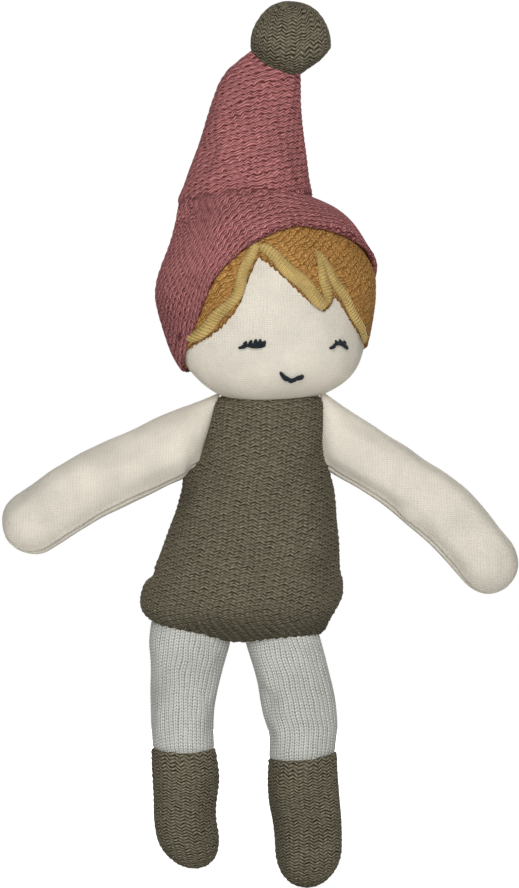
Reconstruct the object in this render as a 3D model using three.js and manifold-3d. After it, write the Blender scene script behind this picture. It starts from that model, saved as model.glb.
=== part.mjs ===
// Plush elf: a stuffed cloth doll in a knitted tunic, tights and boots, with a hooded hat and a pom-pom.
// Millimetres, +Z up, the face looks towards -Y, left and right are the viewer's.
// The origin is at the bottom centre of the doll's bounding box.
import * as THREE from "three";
import { mergeVertices } from "three/addons/utils/BufferGeometryUtils.js";
import Module from "manifold-3d";

const wasm = await Module();
wasm.setup();

// Cloth, thread and the play that sewn neighbours keep
const KNIT = 1.2;
const JERSEY = 0.8;
const THREAD = 1.0;
const GAP = 0.3;
const FLAT_CUT = 0.5;

// Body in its tunic: two panels sewn at the sides, closed below, open at the neck
const HEM_HEIGHT = 69.7;
const BODY_HEIGHT = 67.2;
const HEM_WIDTH = 63;
const NECK_WIDTH = 32.4;
const HEM_DEPTH = 36;
const NECK_DEPTH = 19;
const BODY_LEAN = 9.1;
const WAIST_TAPER = 1.35;
const CHEST_TAPER = 1.5;
const HEM_ROUND = 12.5;
const HEM_ROLL = 0.9;
const HEM_ROLL_HEIGHT = 12.7;
const HEM_ROLL_SPREAD = 4;
const NECK_INSIDE = 8;

// Head, turned towards the viewer's right
const HEAD_WIDTH = 59.2;
const HEAD_DEPTH = 51;
const HEAD_CROWN = 29.8;
const HEAD_CHIN = 28.5;
const JAW_FULLNESS = 2.4;
const HEAD_TURN = 20;
const HEAD_NOD_RANGE = 12;
const PANEL_SEAM = 3;
const NECK_STITCH_WIDTH = 27;
const NECK_STITCH_DEPTH = 9;
const NECK_STITCH_STEPS = 28;

// Hair cut from cloth, satin-stitched along its fringe, and the embroidered face
const HAIR = 0.9;
const SATIN = 0.9;
const SATIN_WIDTH = 3.6;
const FRINGE_LEFT_END = [-26, -15];
const FRINGE_LEFT_CURL = [-18.7, -4.5];
const FRINGE_PARTING = [-10.6, 12.4];
const FRINGE_TIP = [7, -1.1];
const FRINGE_NOTCH = [11, 1.1];
const FRINGE_RIGHT_END = [26, -13];
const FRINGE_SPIKE = [5.6, 15];
const EYE_SPACING = 26.4;
const EYE_WIDTH = 6.6;
const EYE_DROP = 12.2;
const EYE_ARCH = 1.1;
const MOUTH_WIDTH = 6.8;
const MOUTH_DROP = 20.8;
const MOUTH_DIP = 2.2;
const FACE_STITCH = 1.5;

// Hat: a hood over the back of the head and a stuffed cone above its crease
const HOOD_EDGE = -5.4;
const HOOD_TIP_BACK = 49;
const HOOD_TIP_LEFT = 23.6;
const HOOD_NAPE = 24.5;
const CROWN_HOLE = 26;
const CONE_RISE = 26.5;
const CONE_SIDESTEP = -6.5;
const CONE_BASE_WIDTH = 40;
const CONE_TIP_WIDTH = 21;
const CONE_FLATNESS = 0.8;
const CONE_LENGTH = 45;
const CONE_HEADING = 93;
const CONE_BEND = -34;
const CONE_SHOULDER = 8;
const CONE_ROOT = 10;
const HAT_FLOP_FORWARD = 6;
const HAT_FLOP_BACK = 18;
const POM_WIDTH = 22.4;
const POM_SUNK = 6.9;
const POM_SEAT = 3;
const POM_GATHER = 6;
const POM_SWAY_RANGE = 15;

// Arms, sewn into the side seams below the neck
const SHOULDER_DROP = 9.6;
const SHOULDER_WIDTH = 18.6;
const HAND_WIDTH = 18.6;
const ARM_DEPTH = 16.5;
const LEFT_ARM_LENGTH = 62.2;
const LEFT_ARM_HEADING = 203;
const LEFT_ARM_BEND = 8;
const RIGHT_ARM_LENGTH = 66.2;
const RIGHT_ARM_HEADING = -29.5;
const RIGHT_ARM_BEND = -22;
const ARM_TAPER = 15;
const ARM_SWING_RANGE = 60;

// Legs with boots, sewn into the hem
const HIP_SPACING = 26;
const HIP_WIDTH = 22.4;
const ANKLE_WIDTH = 18.2;
const BOOT_WIDTH = 19;
const LEG_DEPTH = 17;
const LEFT_LEG_LENGTH = 64.3;
const LEFT_LEG_HEADING = -96;
const LEFT_LEG_BEND = 12;
const LEFT_BOOT_HEIGHT = 33.5;
const RIGHT_LEG_LENGTH = 69.8;
const RIGHT_LEG_HEADING = -79;
const RIGHT_LEG_BEND = -12;
const RIGHT_BOOT_HEIGHT = 36.7;
const LEG_TAPER = 19;
const LEG_KICK_RANGE = 75;
const LEG_BACK_RANGE = 45;

// Every limb is caught in its seam by a thin rolled edge and swings about a line just outside it
const SEAM_ROLL = 0.95;
const SWING_OFFSET = 2.2;
const ROOT_DEPTH = 7;
const FILL_START = 5;
const FILL_PLAY = 0.6;

// Facets around the forms
const BODY_SIDES = 24;
const LIMB_SIDES = 16;
const FILL_SIDES = 12;
const THREAD_SIDES = 6;
const HEM_RINGS = 5;
const BODY_RINGS = 8;
const LIMB_RINGS = 6;
const TIP_RINGS = 4;
const ARC_STEPS = 5;

const AXIS_X = new THREE.Vector3(1, 0, 0);
const AXIS_Y = new THREE.Vector3(0, 1, 0);
const AXIS_Z = new THREE.Vector3(0, 0, 1);
const REACH = 600;

const COLOURS = {
  olive: 0x635d4d,
  rose: 0x955c5b,
  cream: 0xdcd5c9,
  ochre: 0x9f7543,
  gold: 0xb89c64,
  tights: 0xb0b1ab,
  ink: 0x23272b,
  wadding: 0xf2f0ea,
  thread: 0x6e4a33,
};

const { clamp, degToRad, lerp } = THREE.MathUtils;

// A solid that can be cut and joined
function solid(geometry) {
  const bare = geometry.clone();
  bare.deleteAttribute("normal");
  bare.deleteAttribute("uv");
  const merged = mergeVertices(bare);
  return new wasm.Manifold(new wasm.Mesh({
    numProp: 3,
    vertProperties: Float32Array.from(merged.attributes.position.array),
    triVerts: Uint32Array.from(merged.index.array),
  }));
}

// The geometry of a finished solid
function geometryOf(body) {
  const { vertProperties, triVerts } = body.getMesh();
  const geometry = new THREE.BufferGeometry();
  geometry.setAttribute("position", new THREE.BufferAttribute(vertProperties, 3));
  geometry.setIndex(new THREE.BufferAttribute(triVerts, 1));
  geometry.computeVertexNormals();
  return geometry;
}

// Adds one finished piece to the group that carries it
function addPiece(parent, name, body, color, roughness = 0.95) {
  const material = new THREE.MeshStandardMaterial({ color, roughness, metalness: 0 });
  const mesh = new THREE.Mesh(geometryOf(body), material);
  mesh.name = name;
  parent.add(mesh);
}

// An oval ring of points round a centre, halfU along u and halfV along v
function ovalRing(centre, u, v, halfU, halfV, sides) {
  return Array.from({ length: sides }, (_, i) => {
    const angle = (2 * Math.PI * i) / sides;
    const across = u.clone().multiplyScalar(halfU * Math.cos(angle));
    return centre.clone().add(across).addScaledVector(v, halfV * Math.sin(angle));
  });
}

// A closed loft through rings stacked along u x v, drawn to a point at each end
function loft(rings, start, end) {
  const sides = rings[0].length;
  const points = [...rings.flat(), start, end];
  const index = [];
  const last = (rings.length - 1) * sides;
  for (let i = 0; i < sides; i += 1) {
    const next = (i + 1) % sides;
    index.push(points.length - 2, next, i);
    for (let row = 0; row < last; row += sides) {
      index.push(row + i, row + next, row + sides + next);
      index.push(row + i, row + sides + next, row + sides + i);
    }
    index.push(points.length - 1, last + i, last + next);
  }
  const geometry = new THREE.BufferGeometry().setFromPoints(points);
  geometry.setIndex(index);
  return geometry;
}

// A copy of a geometry turned by some degrees about an axis through a pivot
function turned(geometry, pivot, axis, degrees) {
  return geometry.clone()
    .translate(-pivot.x, -pivot.y, -pivot.z)
    .applyMatrix4(new THREE.Matrix4().makeRotationAxis(axis, degToRad(degrees)))
    .translate(pivot.x, pivot.y, pivot.z);
}

// The room that a form takes up as it turns through some angles about an axis
function swept(geometry, pivot, axis, angles) {
  return angles
    .map((angle) => solid(turned(geometry, pivot, axis, angle)))
    .reduce((room, copy) => room.add(copy));
}

// A large block whose face lies on the plane through a point, on the side that the normal points to
function halfSpace(point, normal) {
  const block = new THREE.BoxGeometry(REACH, REACH, REACH).translate(0, 0, REACH / 2);
  const facing = new THREE.Quaternion().setFromUnitVectors(AXIS_Z, normal);
  return solid(block.applyQuaternion(facing).translate(point.x, point.y, point.z));
}

// A rounded end: from 0 at the very end to 1 where the rounding stops
function rounding(distance, reach, power = 2) {
  const left = 1 - clamp(distance / reach, 0, 1);
  return (1 - left ** power) ** (1 / power);
}

// Body: oval sections that taper from the hem to the neck and lean to the right on the way up
const hemPole = new THREE.Vector3(0, 0, HEM_HEIGHT);
const neckSeat = HEM_HEIGHT + BODY_HEIGHT;

function bodyCentre(height) {
  return new THREE.Vector3((BODY_LEAN * height) / BODY_HEIGHT, 0, HEM_HEIGHT + height);
}

function bodyHalfWidth(height) {
  const roll = HEM_ROLL * Math.exp(-(((height - HEM_ROLL_HEIGHT) / HEM_ROLL_SPREAD) ** 2));
  const left = clamp(1 - height / BODY_HEIGHT, 0, 1);
  return lerp(NECK_WIDTH, HEM_WIDTH, left ** WAIST_TAPER) / 2 + roll;
}

function bodyHalfDepth(height) {
  return lerp(HEM_DEPTH, NECK_DEPTH, clamp(height / BODY_HEIGHT, 0, 1) ** CHEST_TAPER) / 2;
}

function bodyForm(inset, sides = BODY_SIDES) {
  const below = Array.from({ length: HEM_RINGS }, (_, i) => HEM_ROUND * ((i + 0.5) / HEM_RINGS) ** 2);
  const above = Array.from({ length: BODY_RINGS }, (_, i) => (
    lerp(HEM_ROUND, BODY_HEIGHT + NECK_INSIDE, i / (BODY_RINGS - 1))
  ));
  const rings = [...below, ...above].map((h) => {
    const height = h + inset;
    const halfWidth = (bodyHalfWidth(height) - inset) * rounding(h, HEM_ROUND, 3);
    const halfDepth = (bodyHalfDepth(height) - inset) * rounding(h, HEM_ROUND);
    return ovalRing(bodyCentre(height), AXIS_X, AXIS_Y, halfWidth, halfDepth, sides);
  });
  const top = bodyCentre(above.at(-1) + inset);
  return loft(rings, hemPole.clone().setZ(HEM_HEIGHT + inset), top);
}

// Head: an ovoid with its own crown and chin heights, grown evenly for the layers that it wears
const headCentre = new THREE.Vector3(BODY_LEAN, 0, neckSeat + HEAD_CHIN);
const neckPivot = new THREE.Vector3(headCentre.x, 0, neckSeat - GAP - THREAD / 2);

// Share of the head's girth that is left at a share of the way down to the chin, and the other way round
function jawGirth(drop) {
  return Math.max(0, 1 - drop ** JAW_FULLNESS) ** (1 / JAW_FULLNESS);
}

function headForm(grow, sides = BODY_SIDES) {
  const geometry = new THREE.SphereGeometry(1, sides, sides / 2).rotateX(Math.PI / 2);
  const upper = new THREE.Vector3(HEAD_WIDTH / 2 + grow, HEAD_DEPTH / 2 + grow, HEAD_CROWN + grow);
  const lower = upper.clone().setZ(HEAD_CHIN + grow);
  const { position } = geometry.attributes;
  const point = new THREE.Vector3();
  for (let i = 0; i < position.count; i += 1) {
    point.fromBufferAttribute(position, i);
    const girth = Math.hypot(point.x, point.y);
    const fuller = point.z < 0 && girth > 0 ? jawGirth(-point.z) / girth : 1;
    point.multiply(new THREE.Vector3(fuller, fuller, 1)).multiply(point.z > 0 ? upper : lower);
    position.setXYZ(i, point.x, point.y, point.z);
  }
  return geometry;
}

function placedHeadForm(grow) {
  const { x, y, z } = headCentre;
  return headForm(grow).rotateZ(degToRad(HEAD_TURN)).translate(x, y, z);
}

// A layer of cloth on the head, from one height above the skin to another
function headLayer(from, to) {
  return solid(headForm(to)).subtract(solid(headForm(from)));
}

// An outline on the face, given as x and z from the head's centre and carried through its front
function faceCut(points) {
  const outline = new THREE.Shape(points.map(([x, z]) => new THREE.Vector2(x, z)));
  const cut = new THREE.ExtrudeGeometry(outline, { depth: HEAD_DEPTH, bevelEnabled: false });
  return solid(cut.rotateX(Math.PI / 2));
}

// Limb: oval sections along an arc in the XZ plane, slanted with the seam at its root, round at its far end
function limbSpine(limb, along) {
  const rate = degToRad(limb.bend) / limb.length || 1e-9;
  const from = degToRad(limb.heading);
  const to = from + rate * along;
  const x = (Math.sin(to) - Math.sin(from)) / rate;
  const z = (Math.cos(from) - Math.cos(to)) / rate;
  const tangent = new THREE.Vector3(Math.cos(to), 0, Math.sin(to));
  return { point: limb.start.clone().add(new THREE.Vector3(x, 0, z)), tangent };
}

function limbForm(limb, { inset = 0, root = ROOT_DEPTH, sides = LIMB_SIDES } = {}) {
  const tipReach = limb.tipReach - inset;
  const shoulder = limb.length - limb.tipReach;
  const even = Array.from({ length: LIMB_RINGS }, (_, i) => (
    lerp(limb.taper, shoulder, i / (LIMB_RINGS - 1))
  ));
  const straight = [-root, ...new Set([0, ...even].filter((along) => along > -root))];
  const curved = Array.from({ length: TIP_RINGS }, (_, i) => {
    const angle = ((i + 1) / (TIP_RINGS + 0.5)) * (Math.PI / 2);
    return shoulder + tipReach * Math.sin(angle);
  });
  const rings = [...straight, ...curved].map((along) => {
    const { point, tangent } = limbSpine(limb, along);
    const round = rounding(shoulder + tipReach - along, tipReach);
    const across = AXIS_Y.clone().cross(tangent);
    const slanted = across.clone().lerp(limb.seam, 1 - limb.swell(along));
    const halfWidth = ((limb.halfWidth(along) - inset) * round) / slanted.dot(across);
    const halfDepth = (limb.halfDepth(along) - inset) * round;
    return ovalRing(point, slanted, AXIS_Y, halfWidth, halfDepth, sides);
  });
  return loft(rings, limbSpine(limb, -root).point, limbSpine(limb, shoulder + tipReach).point);
}

// Cloth tube of a limb: its form less the hollow, which opens at the root
function limbSkin(limb, wall, root = ROOT_DEPTH) {
  const hollow = limbForm(limb, { inset: wall, root: root + GAP });
  return solid(limbForm(limb, { root })).subtract(solid(hollow));
}

function limbFill(limb, wall) {
  const shape = { inset: wall + FILL_PLAY, root: -FILL_START, sides: LIMB_SIDES / 2 };
  return solid(limbForm(limb, shape));
}

const group = new THREE.Group();

// Body pieces, cut at the neck by the room that the nodding head and its stitch take up
const nodRoom = swept(
  placedHeadForm(THREAD + 2 * GAP), neckPivot, AXIS_X, [-HEAD_NOD_RANGE, 0, HEAD_NOD_RANGE],
);
const bodySkin = solid(bodyForm(0)).subtract(solid(bodyForm(KNIT))).subtract(nodRoom);
const backFace = new THREE.Vector3(0, bodyHalfDepth(HEM_ROUND) - FLAT_CUT, 0);
const backFlat = halfSpace(backFace, AXIS_Y);
const seamFront = halfSpace(new THREE.Vector3(0, -GAP / 2, 0), AXIS_Y.clone().negate());
const seamBack = halfSpace(new THREE.Vector3(0, GAP / 2, 0), AXIS_Y);
addPiece(group, "body_fill", solid(bodyForm(KNIT + GAP, FILL_SIDES)).subtract(nodRoom), COLOURS.wadding);
addPiece(group, "tunic_front", bodySkin.intersect(seamFront), COLOURS.olive);
addPiece(group, "tunic_back", bodySkin.intersect(seamBack).subtract(backFlat), COLOURS.olive);

// Neck stitch: a closed loop of thread under the head, bent from a round ring to the oval of the seam
function neckStitch() {
  const radius = NECK_STITCH_WIDTH / 2;
  const hang = GAP + THREAD / 2;
  const ring = new THREE.TorusGeometry(radius, THREAD / 2, THREAD_SIDES, NECK_STITCH_STEPS);
  const { position } = ring.attributes;
  for (let i = 0; i < position.count; i += 1) {
    const angle = Math.atan2(position.getY(i), position.getX(i));
    const outward = Math.hypot(position.getX(i), position.getY(i)) - radius;
    const x = (radius + outward) * Math.cos(angle);
    const y = (NECK_STITCH_DEPTH / 2 + outward) * Math.sin(angle);
    const onHead = new THREE.Vector3(x, y, 0).applyAxisAngle(AXIS_Z, -degToRad(HEAD_TURN));
    const share = Math.hypot(onHead.x / (HEAD_WIDTH / 2 + hang), onHead.y / (HEAD_DEPTH / 2 + hang));
    const under = (HEAD_CHIN + hang) * jawGirth(share);
    position.setXYZ(i, headCentre.x + x, y, headCentre.z - under + position.getZ(i));
  }
  return solid(ring);
}
addPiece(group, "neck_stitch", neckStitch(), COLOURS.thread);

// Head pieces, in a group that carries the turn of the head
const head = new THREE.Group();
head.position.copy(headCentre);
head.rotation.z = degToRad(HEAD_TURN);
group.add(head);

const neckHole = (NECK_STITCH_DEPTH - 2 * THREAD) / 2;
const stuffingHole = new THREE.CylinderGeometry(neckHole, neckHole, HEAD_CHIN, FILL_SIDES)
  .rotateX(Math.PI / 2)
  .translate(0, 0, -HEAD_CHIN);
const headSkin = headLayer(-JERSEY, 0).subtract(solid(stuffingHole));
const faceSide = halfSpace(new THREE.Vector3(0, PANEL_SEAM - GAP / 2, 0), AXIS_Y.clone().negate());
const napeSide = halfSpace(new THREE.Vector3(0, PANEL_SEAM + GAP / 2, 0), AXIS_Y);
addPiece(head, "head_fill", solid(headForm(-JERSEY - GAP, BODY_SIDES / 2)), COLOURS.wadding);
addPiece(head, "face_panel", headSkin.intersect(faceSide), COLOURS.cream);
addPiece(head, "head_back", headSkin.intersect(napeSide), COLOURS.ochre);

// Hood: a knitted layer behind a slanted edge, open at the crown where the cone's stuffing goes in
const hairTop = GAP + HAIR;
const hoodInside = hairTop + GAP;
const hoodOutside = hoodInside + KNIT;
const hoodNormal = AXIS_Z.clone()
  .applyAxisAngle(AXIS_X, -degToRad(HOOD_TIP_BACK))
  .applyAxisAngle(AXIS_Y, -degToRad(HOOD_TIP_LEFT));
const hoodEdge = hoodNormal.clone().multiplyScalar(HOOD_EDGE);
const crownPlace = new THREE.Vector3(CONE_SIDESTEP, 0, CONE_RISE)
  .applyAxisAngle(AXIS_Z, -degToRad(HEAD_TURN));
const crownHole = new THREE.CylinderGeometry(CROWN_HOLE / 2, CROWN_HOLE / 2, HEAD_CROWN, LIMB_SIDES)
  .rotateX(Math.PI / 2)
  .translate(crownPlace.x, crownPlace.y, crownPlace.z);
const hood = headLayer(hoodInside, hoodOutside)
  .intersect(halfSpace(hoodEdge, hoodNormal))
  .intersect(halfSpace(new THREE.Vector3(0, 0, -HOOD_NAPE), AXIS_Z))
  .subtract(solid(crownHole));
addPiece(head, "hat_hood", hood, COLOURS.rose);

// Hair: a cloth layer whose lower edge is the fringe, and the satin bars that cover that edge
const side = HEAD_WIDTH;
const fringeEdge = [
  FRINGE_LEFT_END, FRINGE_LEFT_CURL, FRINGE_PARTING, FRINGE_TIP, FRINGE_NOTCH, FRINGE_RIGHT_END,
];
const fringeOutline = [
  [-side, FRINGE_LEFT_END[1]], ...fringeEdge, [side, FRINGE_RIGHT_END[1]], [side, side], [-side, side],
];
addPiece(head, "hair", headLayer(GAP, hairTop).intersect(faceCut(fringeOutline)), COLOURS.ochre);

// The outline of a stitched band of even width along a line of points
function band(points, width) {
  const line = points.map(([x, z]) => new THREE.Vector2(x, z));
  const edge = (sign) => line.map((point, i) => {
    const ahead = line[Math.min(i + 1, line.length - 1)];
    const behind = line[Math.max(i - 1, 0)];
    const along = ahead.clone().sub(behind).normalize();
    return [point.x - (sign * along.y * width) / 2, point.y + (sign * along.x * width) / 2];
  });
  return [...edge(-1), ...edge(1).reverse()];
}
const lift = ([x, z], dx, dz) => [x + dx * SATIN_WIDTH, z + dz * SATIN_WIDTH];
const satinLines = [
  [lift(FRINGE_PARTING, 0.3, 0.6), lift(FRINGE_LEFT_CURL, -0.3, 0.4), lift(FRINGE_LEFT_END, 0, 0.3)],
  [lift(FRINGE_PARTING, 0.1, 0.6), lift(FRINGE_TIP, 0.1, 0.3)],
  [FRINGE_SPIKE, lift(FRINGE_TIP, 0.1, 0.3)],
  [FRINGE_SPIKE, lift(FRINGE_NOTCH, 0.4, 0.7), lift(FRINGE_RIGHT_END, 0, 0.3)],
];
const satinCut = satinLines
  .map((line) => faceCut(band(line, SATIN_WIDTH)))
  .reduce((bars, bar) => bars.add(bar));
const beforeHood = halfSpace(
  hoodEdge.clone().addScaledVector(hoodNormal, -GAP), hoodNormal.clone().negate(),
);
const satin = headLayer(hairTop + GAP, hairTop + GAP + SATIN).intersect(satinCut).intersect(beforeHood);
addPiece(head, "fringe_satin", satin, COLOURS.gold, 0.5);

// Embroidered eyes and mouth: arcs on the face, closed eyes arched up and a smile dipping down
function stitchedArc(middle, height, width, rise) {
  const arc = Array.from({ length: ARC_STEPS + 1 }, (_, i) => {
    const step = (2 * i) / ARC_STEPS - 1;
    return [middle + (step * width) / 2, height + rise * (1 - step ** 2)];
  });
  return headLayer(GAP, GAP + SATIN).intersect(faceCut(band(arc, FACE_STITCH)));
}
addPiece(head, "eye_left", stitchedArc(-EYE_SPACING / 2, -EYE_DROP, EYE_WIDTH, EYE_ARCH), COLOURS.ink);
addPiece(head, "eye_right", stitchedArc(EYE_SPACING / 2, -EYE_DROP, EYE_WIDTH, EYE_ARCH), COLOURS.ink);
addPiece(head, "mouth", stitchedArc(0, -MOUTH_DROP, MOUTH_WIDTH, -MOUTH_DIP), COLOURS.ink);

// Hat cone: a tapering stuffed tube that stands in the crease of the hood and ends under the pom-pom
const cone = {
  start: headCentre.clone().add(new THREE.Vector3(CONE_SIDESTEP, 0, CONE_RISE)),
  heading: CONE_HEADING,
  bend: CONE_BEND,
  length: CONE_LENGTH,
  taper: 0,
  tipReach: CONE_SHOULDER,
  seam: AXIS_X,
  swell: () => 1,
  halfWidth: (along) => lerp(CONE_BASE_WIDTH, CONE_TIP_WIDTH, along / (CONE_LENGTH - CONE_SHOULDER)) / 2,
  halfDepth: (along) => CONE_FLATNESS * cone.halfWidth(along),
};
const flops = [HAT_FLOP_BACK, HAT_FLOP_BACK / 2, 0, -HAT_FLOP_FORWARD];
const flopRoom = swept(placedHeadForm(hoodOutside + GAP), cone.start, AXIS_X, flops);
const coneEnd = limbSpine(cone, CONE_LENGTH);
const pomPivot = limbSpine(cone, CONE_LENGTH - POM_SEAT).point;
const pomCentre = coneEnd.point.clone().addScaledVector(coneEnd.tangent, POM_WIDTH / 2 - POM_SUNK);
function pomForm(radius, sides = LIMB_SIDES) {
  const { x, y, z } = pomCentre;
  return new THREE.SphereGeometry(radius, sides, sides / 2 + 1).translate(x, y, z);
}
const swayRoom = swept(
  pomForm(POM_WIDTH / 2 + GAP), pomPivot, AXIS_Y, [-POM_SWAY_RANGE, 0, POM_SWAY_RANGE],
);
const coneSkin = limbSkin(cone, KNIT, CONE_ROOT).subtract(flopRoom).subtract(swayRoom);
addPiece(group, "hat_cone", coneSkin, COLOURS.rose);
const coneFill = limbFill(cone, KNIT).subtract(flopRoom).subtract(swayRoom);
addPiece(group, "hat_cone_fill", coneFill, COLOURS.wadding);

// Pom-pom: a stuffed ball of knit, gathered round an opening where it is sewn to the cone
const gather = new THREE.CylinderGeometry(POM_GATHER / 2, POM_GATHER / 2, POM_WIDTH, THREAD_SIDES * 2)
  .translate(0, -POM_WIDTH / 2, 0)
  .applyQuaternion(new THREE.Quaternion().setFromUnitVectors(AXIS_Y, coneEnd.tangent))
  .translate(pomCentre.x, pomCentre.y, pomCentre.z);
const pomSkin = solid(pomForm(POM_WIDTH / 2)).subtract(solid(pomForm(POM_WIDTH / 2 - KNIT)));
addPiece(group, "pom_pom", pomSkin.subtract(solid(gather)), COLOURS.olive);
addPiece(group, "pom_pom_fill", solid(pomForm(POM_WIDTH / 2 - KNIT - GAP, FILL_SIDES)), COLOURS.wadding);

// Arms: each starts inside the side seam and is cut by the room that the body takes up as it swings
function sideSeam(height, sign) {
  return bodyCentre(height).add(new THREE.Vector3(sign * bodyHalfWidth(height), 0, 0));
}

function addArm(name, sign, length, heading, bend) {
  const height = BODY_HEIGHT - SHOULDER_DROP;
  const start = sideSeam(height, sign);
  const above = sideSeam(height + SHOULDER_WIDTH / 2, sign);
  const below = sideSeam(height - SHOULDER_WIDTH / 2, sign);
  const axis = above.clone().sub(below).normalize();
  const outward = axis.clone().cross(AXIS_Y).multiplyScalar(-sign);
  const pivot = start.clone().addScaledVector(outward, SWING_OFFSET);
  const arm = {
    start,
    heading,
    bend,
    length,
    taper: ARM_TAPER,
    tipReach: HAND_WIDTH / 2,
    seam: axis.clone().multiplyScalar(-sign),
    swell: (along) => clamp(along / ARM_TAPER, 0, 1),
    halfWidth: (along) => lerp(SHOULDER_WIDTH, HAND_WIDTH, clamp(along / length, 0, 1)) / 2,
    halfDepth: (along) => lerp(SEAM_ROLL, ARM_DEPTH / 2, arm.swell(along)),
  };
  const swings = [-1, -0.5, 0, 0.5, 1].map((share) => share * ARM_SWING_RANGE);
  const room = swept(bodyForm(-GAP), pivot, axis, swings);
  addPiece(group, `${name}_arm`, limbSkin(arm, JERSEY).subtract(room), COLOURS.cream);
  addPiece(group, `${name}_arm_fill`, limbFill(arm, JERSEY).subtract(room), COLOURS.wadding);
}
addArm("left", -1, LEFT_ARM_LENGTH, LEFT_ARM_HEADING, LEFT_ARM_BEND);
addArm("right", 1, RIGHT_ARM_LENGTH, RIGHT_ARM_HEADING, RIGHT_ARM_BEND);

// Legs: tights above, boot below, one filling through both, cut by the room that the body takes up
function addLeg(name, sign, length, heading, bend, bootHeight) {
  const start = new THREE.Vector3((sign * HIP_SPACING) / 2, 0, HEM_HEIGHT);
  const pivot = start.clone().setZ(HEM_HEIGHT - SWING_OFFSET);
  const bootTop = length - bootHeight;
  const leg = {
    start,
    heading,
    bend,
    length,
    taper: LEG_TAPER,
    tipReach: BOOT_WIDTH / 2,
    seam: AXIS_X.clone().negate(),
    swell: (along) => clamp(along / LEG_TAPER, 0, 1),
    halfWidth: (along) => (along > bootTop
      ? BOOT_WIDTH / 2
      : lerp(ANKLE_WIDTH, HIP_WIDTH, clamp(1 - along / bootTop, 0, 1) ** 2) / 2),
    halfDepth: (along) => lerp(SEAM_ROLL, LEG_DEPTH / 2, leg.swell(along)),
  };
  const kicks = [-LEG_KICK_RANGE, -LEG_KICK_RANGE / 2, 0, LEG_BACK_RANGE];
  const room = swept(bodyForm(-GAP), pivot, AXIS_X.clone().negate(), kicks);
  const seam = limbSpine(leg, bootTop);
  const aboveSeam = halfSpace(
    seam.point.clone().addScaledVector(seam.tangent, -GAP / 2), seam.tangent.clone().negate(),
  );
  const belowSeam = halfSpace(seam.point.clone().addScaledVector(seam.tangent, GAP / 2), seam.tangent);
  const tights = limbSkin(leg, JERSEY).intersect(aboveSeam).subtract(room);
  addPiece(group, `${name}_tights`, tights, COLOURS.tights);
  addPiece(group, `${name}_boot`, limbSkin(leg, KNIT, -LEG_TAPER).intersect(belowSeam), COLOURS.olive);
  addPiece(group, `${name}_leg_fill`, limbFill(leg, KNIT).subtract(room), COLOURS.wadding);
}
addLeg("left", -1, LEFT_LEG_LENGTH, LEFT_LEG_HEADING, LEFT_LEG_BEND, LEFT_BOOT_HEIGHT);
addLeg("right", 1, RIGHT_LEG_LENGTH, RIGHT_LEG_HEADING, RIGHT_LEG_BEND, RIGHT_BOOT_HEIGHT);

// The doll's bottom centre goes to the origin
const box = new THREE.Box3().setFromObject(group, true);
const middle = box.getCenter(new THREE.Vector3());
group.position.set(-middle.x, -middle.y, -box.min.z);

export default group;
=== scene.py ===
"""Plush elf: the stuffed, knitted doll dressed piece by piece over its solids, with its studio."""
import math

import bpy
import numpy as np
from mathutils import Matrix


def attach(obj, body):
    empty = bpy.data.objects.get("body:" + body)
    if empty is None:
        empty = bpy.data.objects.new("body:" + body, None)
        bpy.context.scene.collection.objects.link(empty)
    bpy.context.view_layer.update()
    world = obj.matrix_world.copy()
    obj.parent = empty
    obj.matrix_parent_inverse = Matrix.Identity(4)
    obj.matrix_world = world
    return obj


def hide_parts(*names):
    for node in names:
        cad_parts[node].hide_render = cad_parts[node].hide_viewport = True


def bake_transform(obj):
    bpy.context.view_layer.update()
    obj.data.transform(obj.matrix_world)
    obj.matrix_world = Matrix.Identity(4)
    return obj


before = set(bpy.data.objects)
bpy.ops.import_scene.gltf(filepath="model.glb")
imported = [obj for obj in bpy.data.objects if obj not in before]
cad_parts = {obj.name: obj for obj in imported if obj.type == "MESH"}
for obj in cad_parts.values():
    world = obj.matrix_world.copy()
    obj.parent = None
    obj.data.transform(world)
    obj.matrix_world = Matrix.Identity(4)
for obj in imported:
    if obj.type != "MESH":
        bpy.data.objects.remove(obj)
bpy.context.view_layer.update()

bl_info = {
    "name": "Plush elf",
    "version": (1, 0, 0),
    "blender": (4, 5, 0),
    "location": "View3D > Sidebar > Plush elf",
    "description": "Builds the knitted elf doll, its stitches and its studio",
    "category": "Add Mesh",
}

MM = 0.001
TURN = 2 * math.pi
# The photograph's height in pixels, the millimetres that one pixel shows, and the doll's middle plane
PHOTO_HEIGHT = 888
PIXEL = 0.2822
FRONT_Y = -0.15


def linear(colour):
    """An sRGB hex colour as linear red, green and blue, each through the sRGB curve."""
    shares = [int(colour[i:i + 2], 16) / 255 for i in (1, 3, 5)]
    return tuple(c / 12.92 if c <= 0.04045 else ((c + 0.055) / 1.055) ** 2.4 for c in shares)


def length(name, description, millimetres):
    """A length property, kept in metres and given in millimetres."""
    return bpy.props.FloatProperty(
        name=name, description=description, default=millimetres * MM, unit="LENGTH", precision=5)


def colour(name, description, hexadecimal):
    """A colour property with an sRGB hex default."""
    return bpy.props.FloatVectorProperty(
        name=name, description=description, default=linear(hexadecimal), subtype="COLOR", size=3,
        min=0, max=1)


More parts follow.
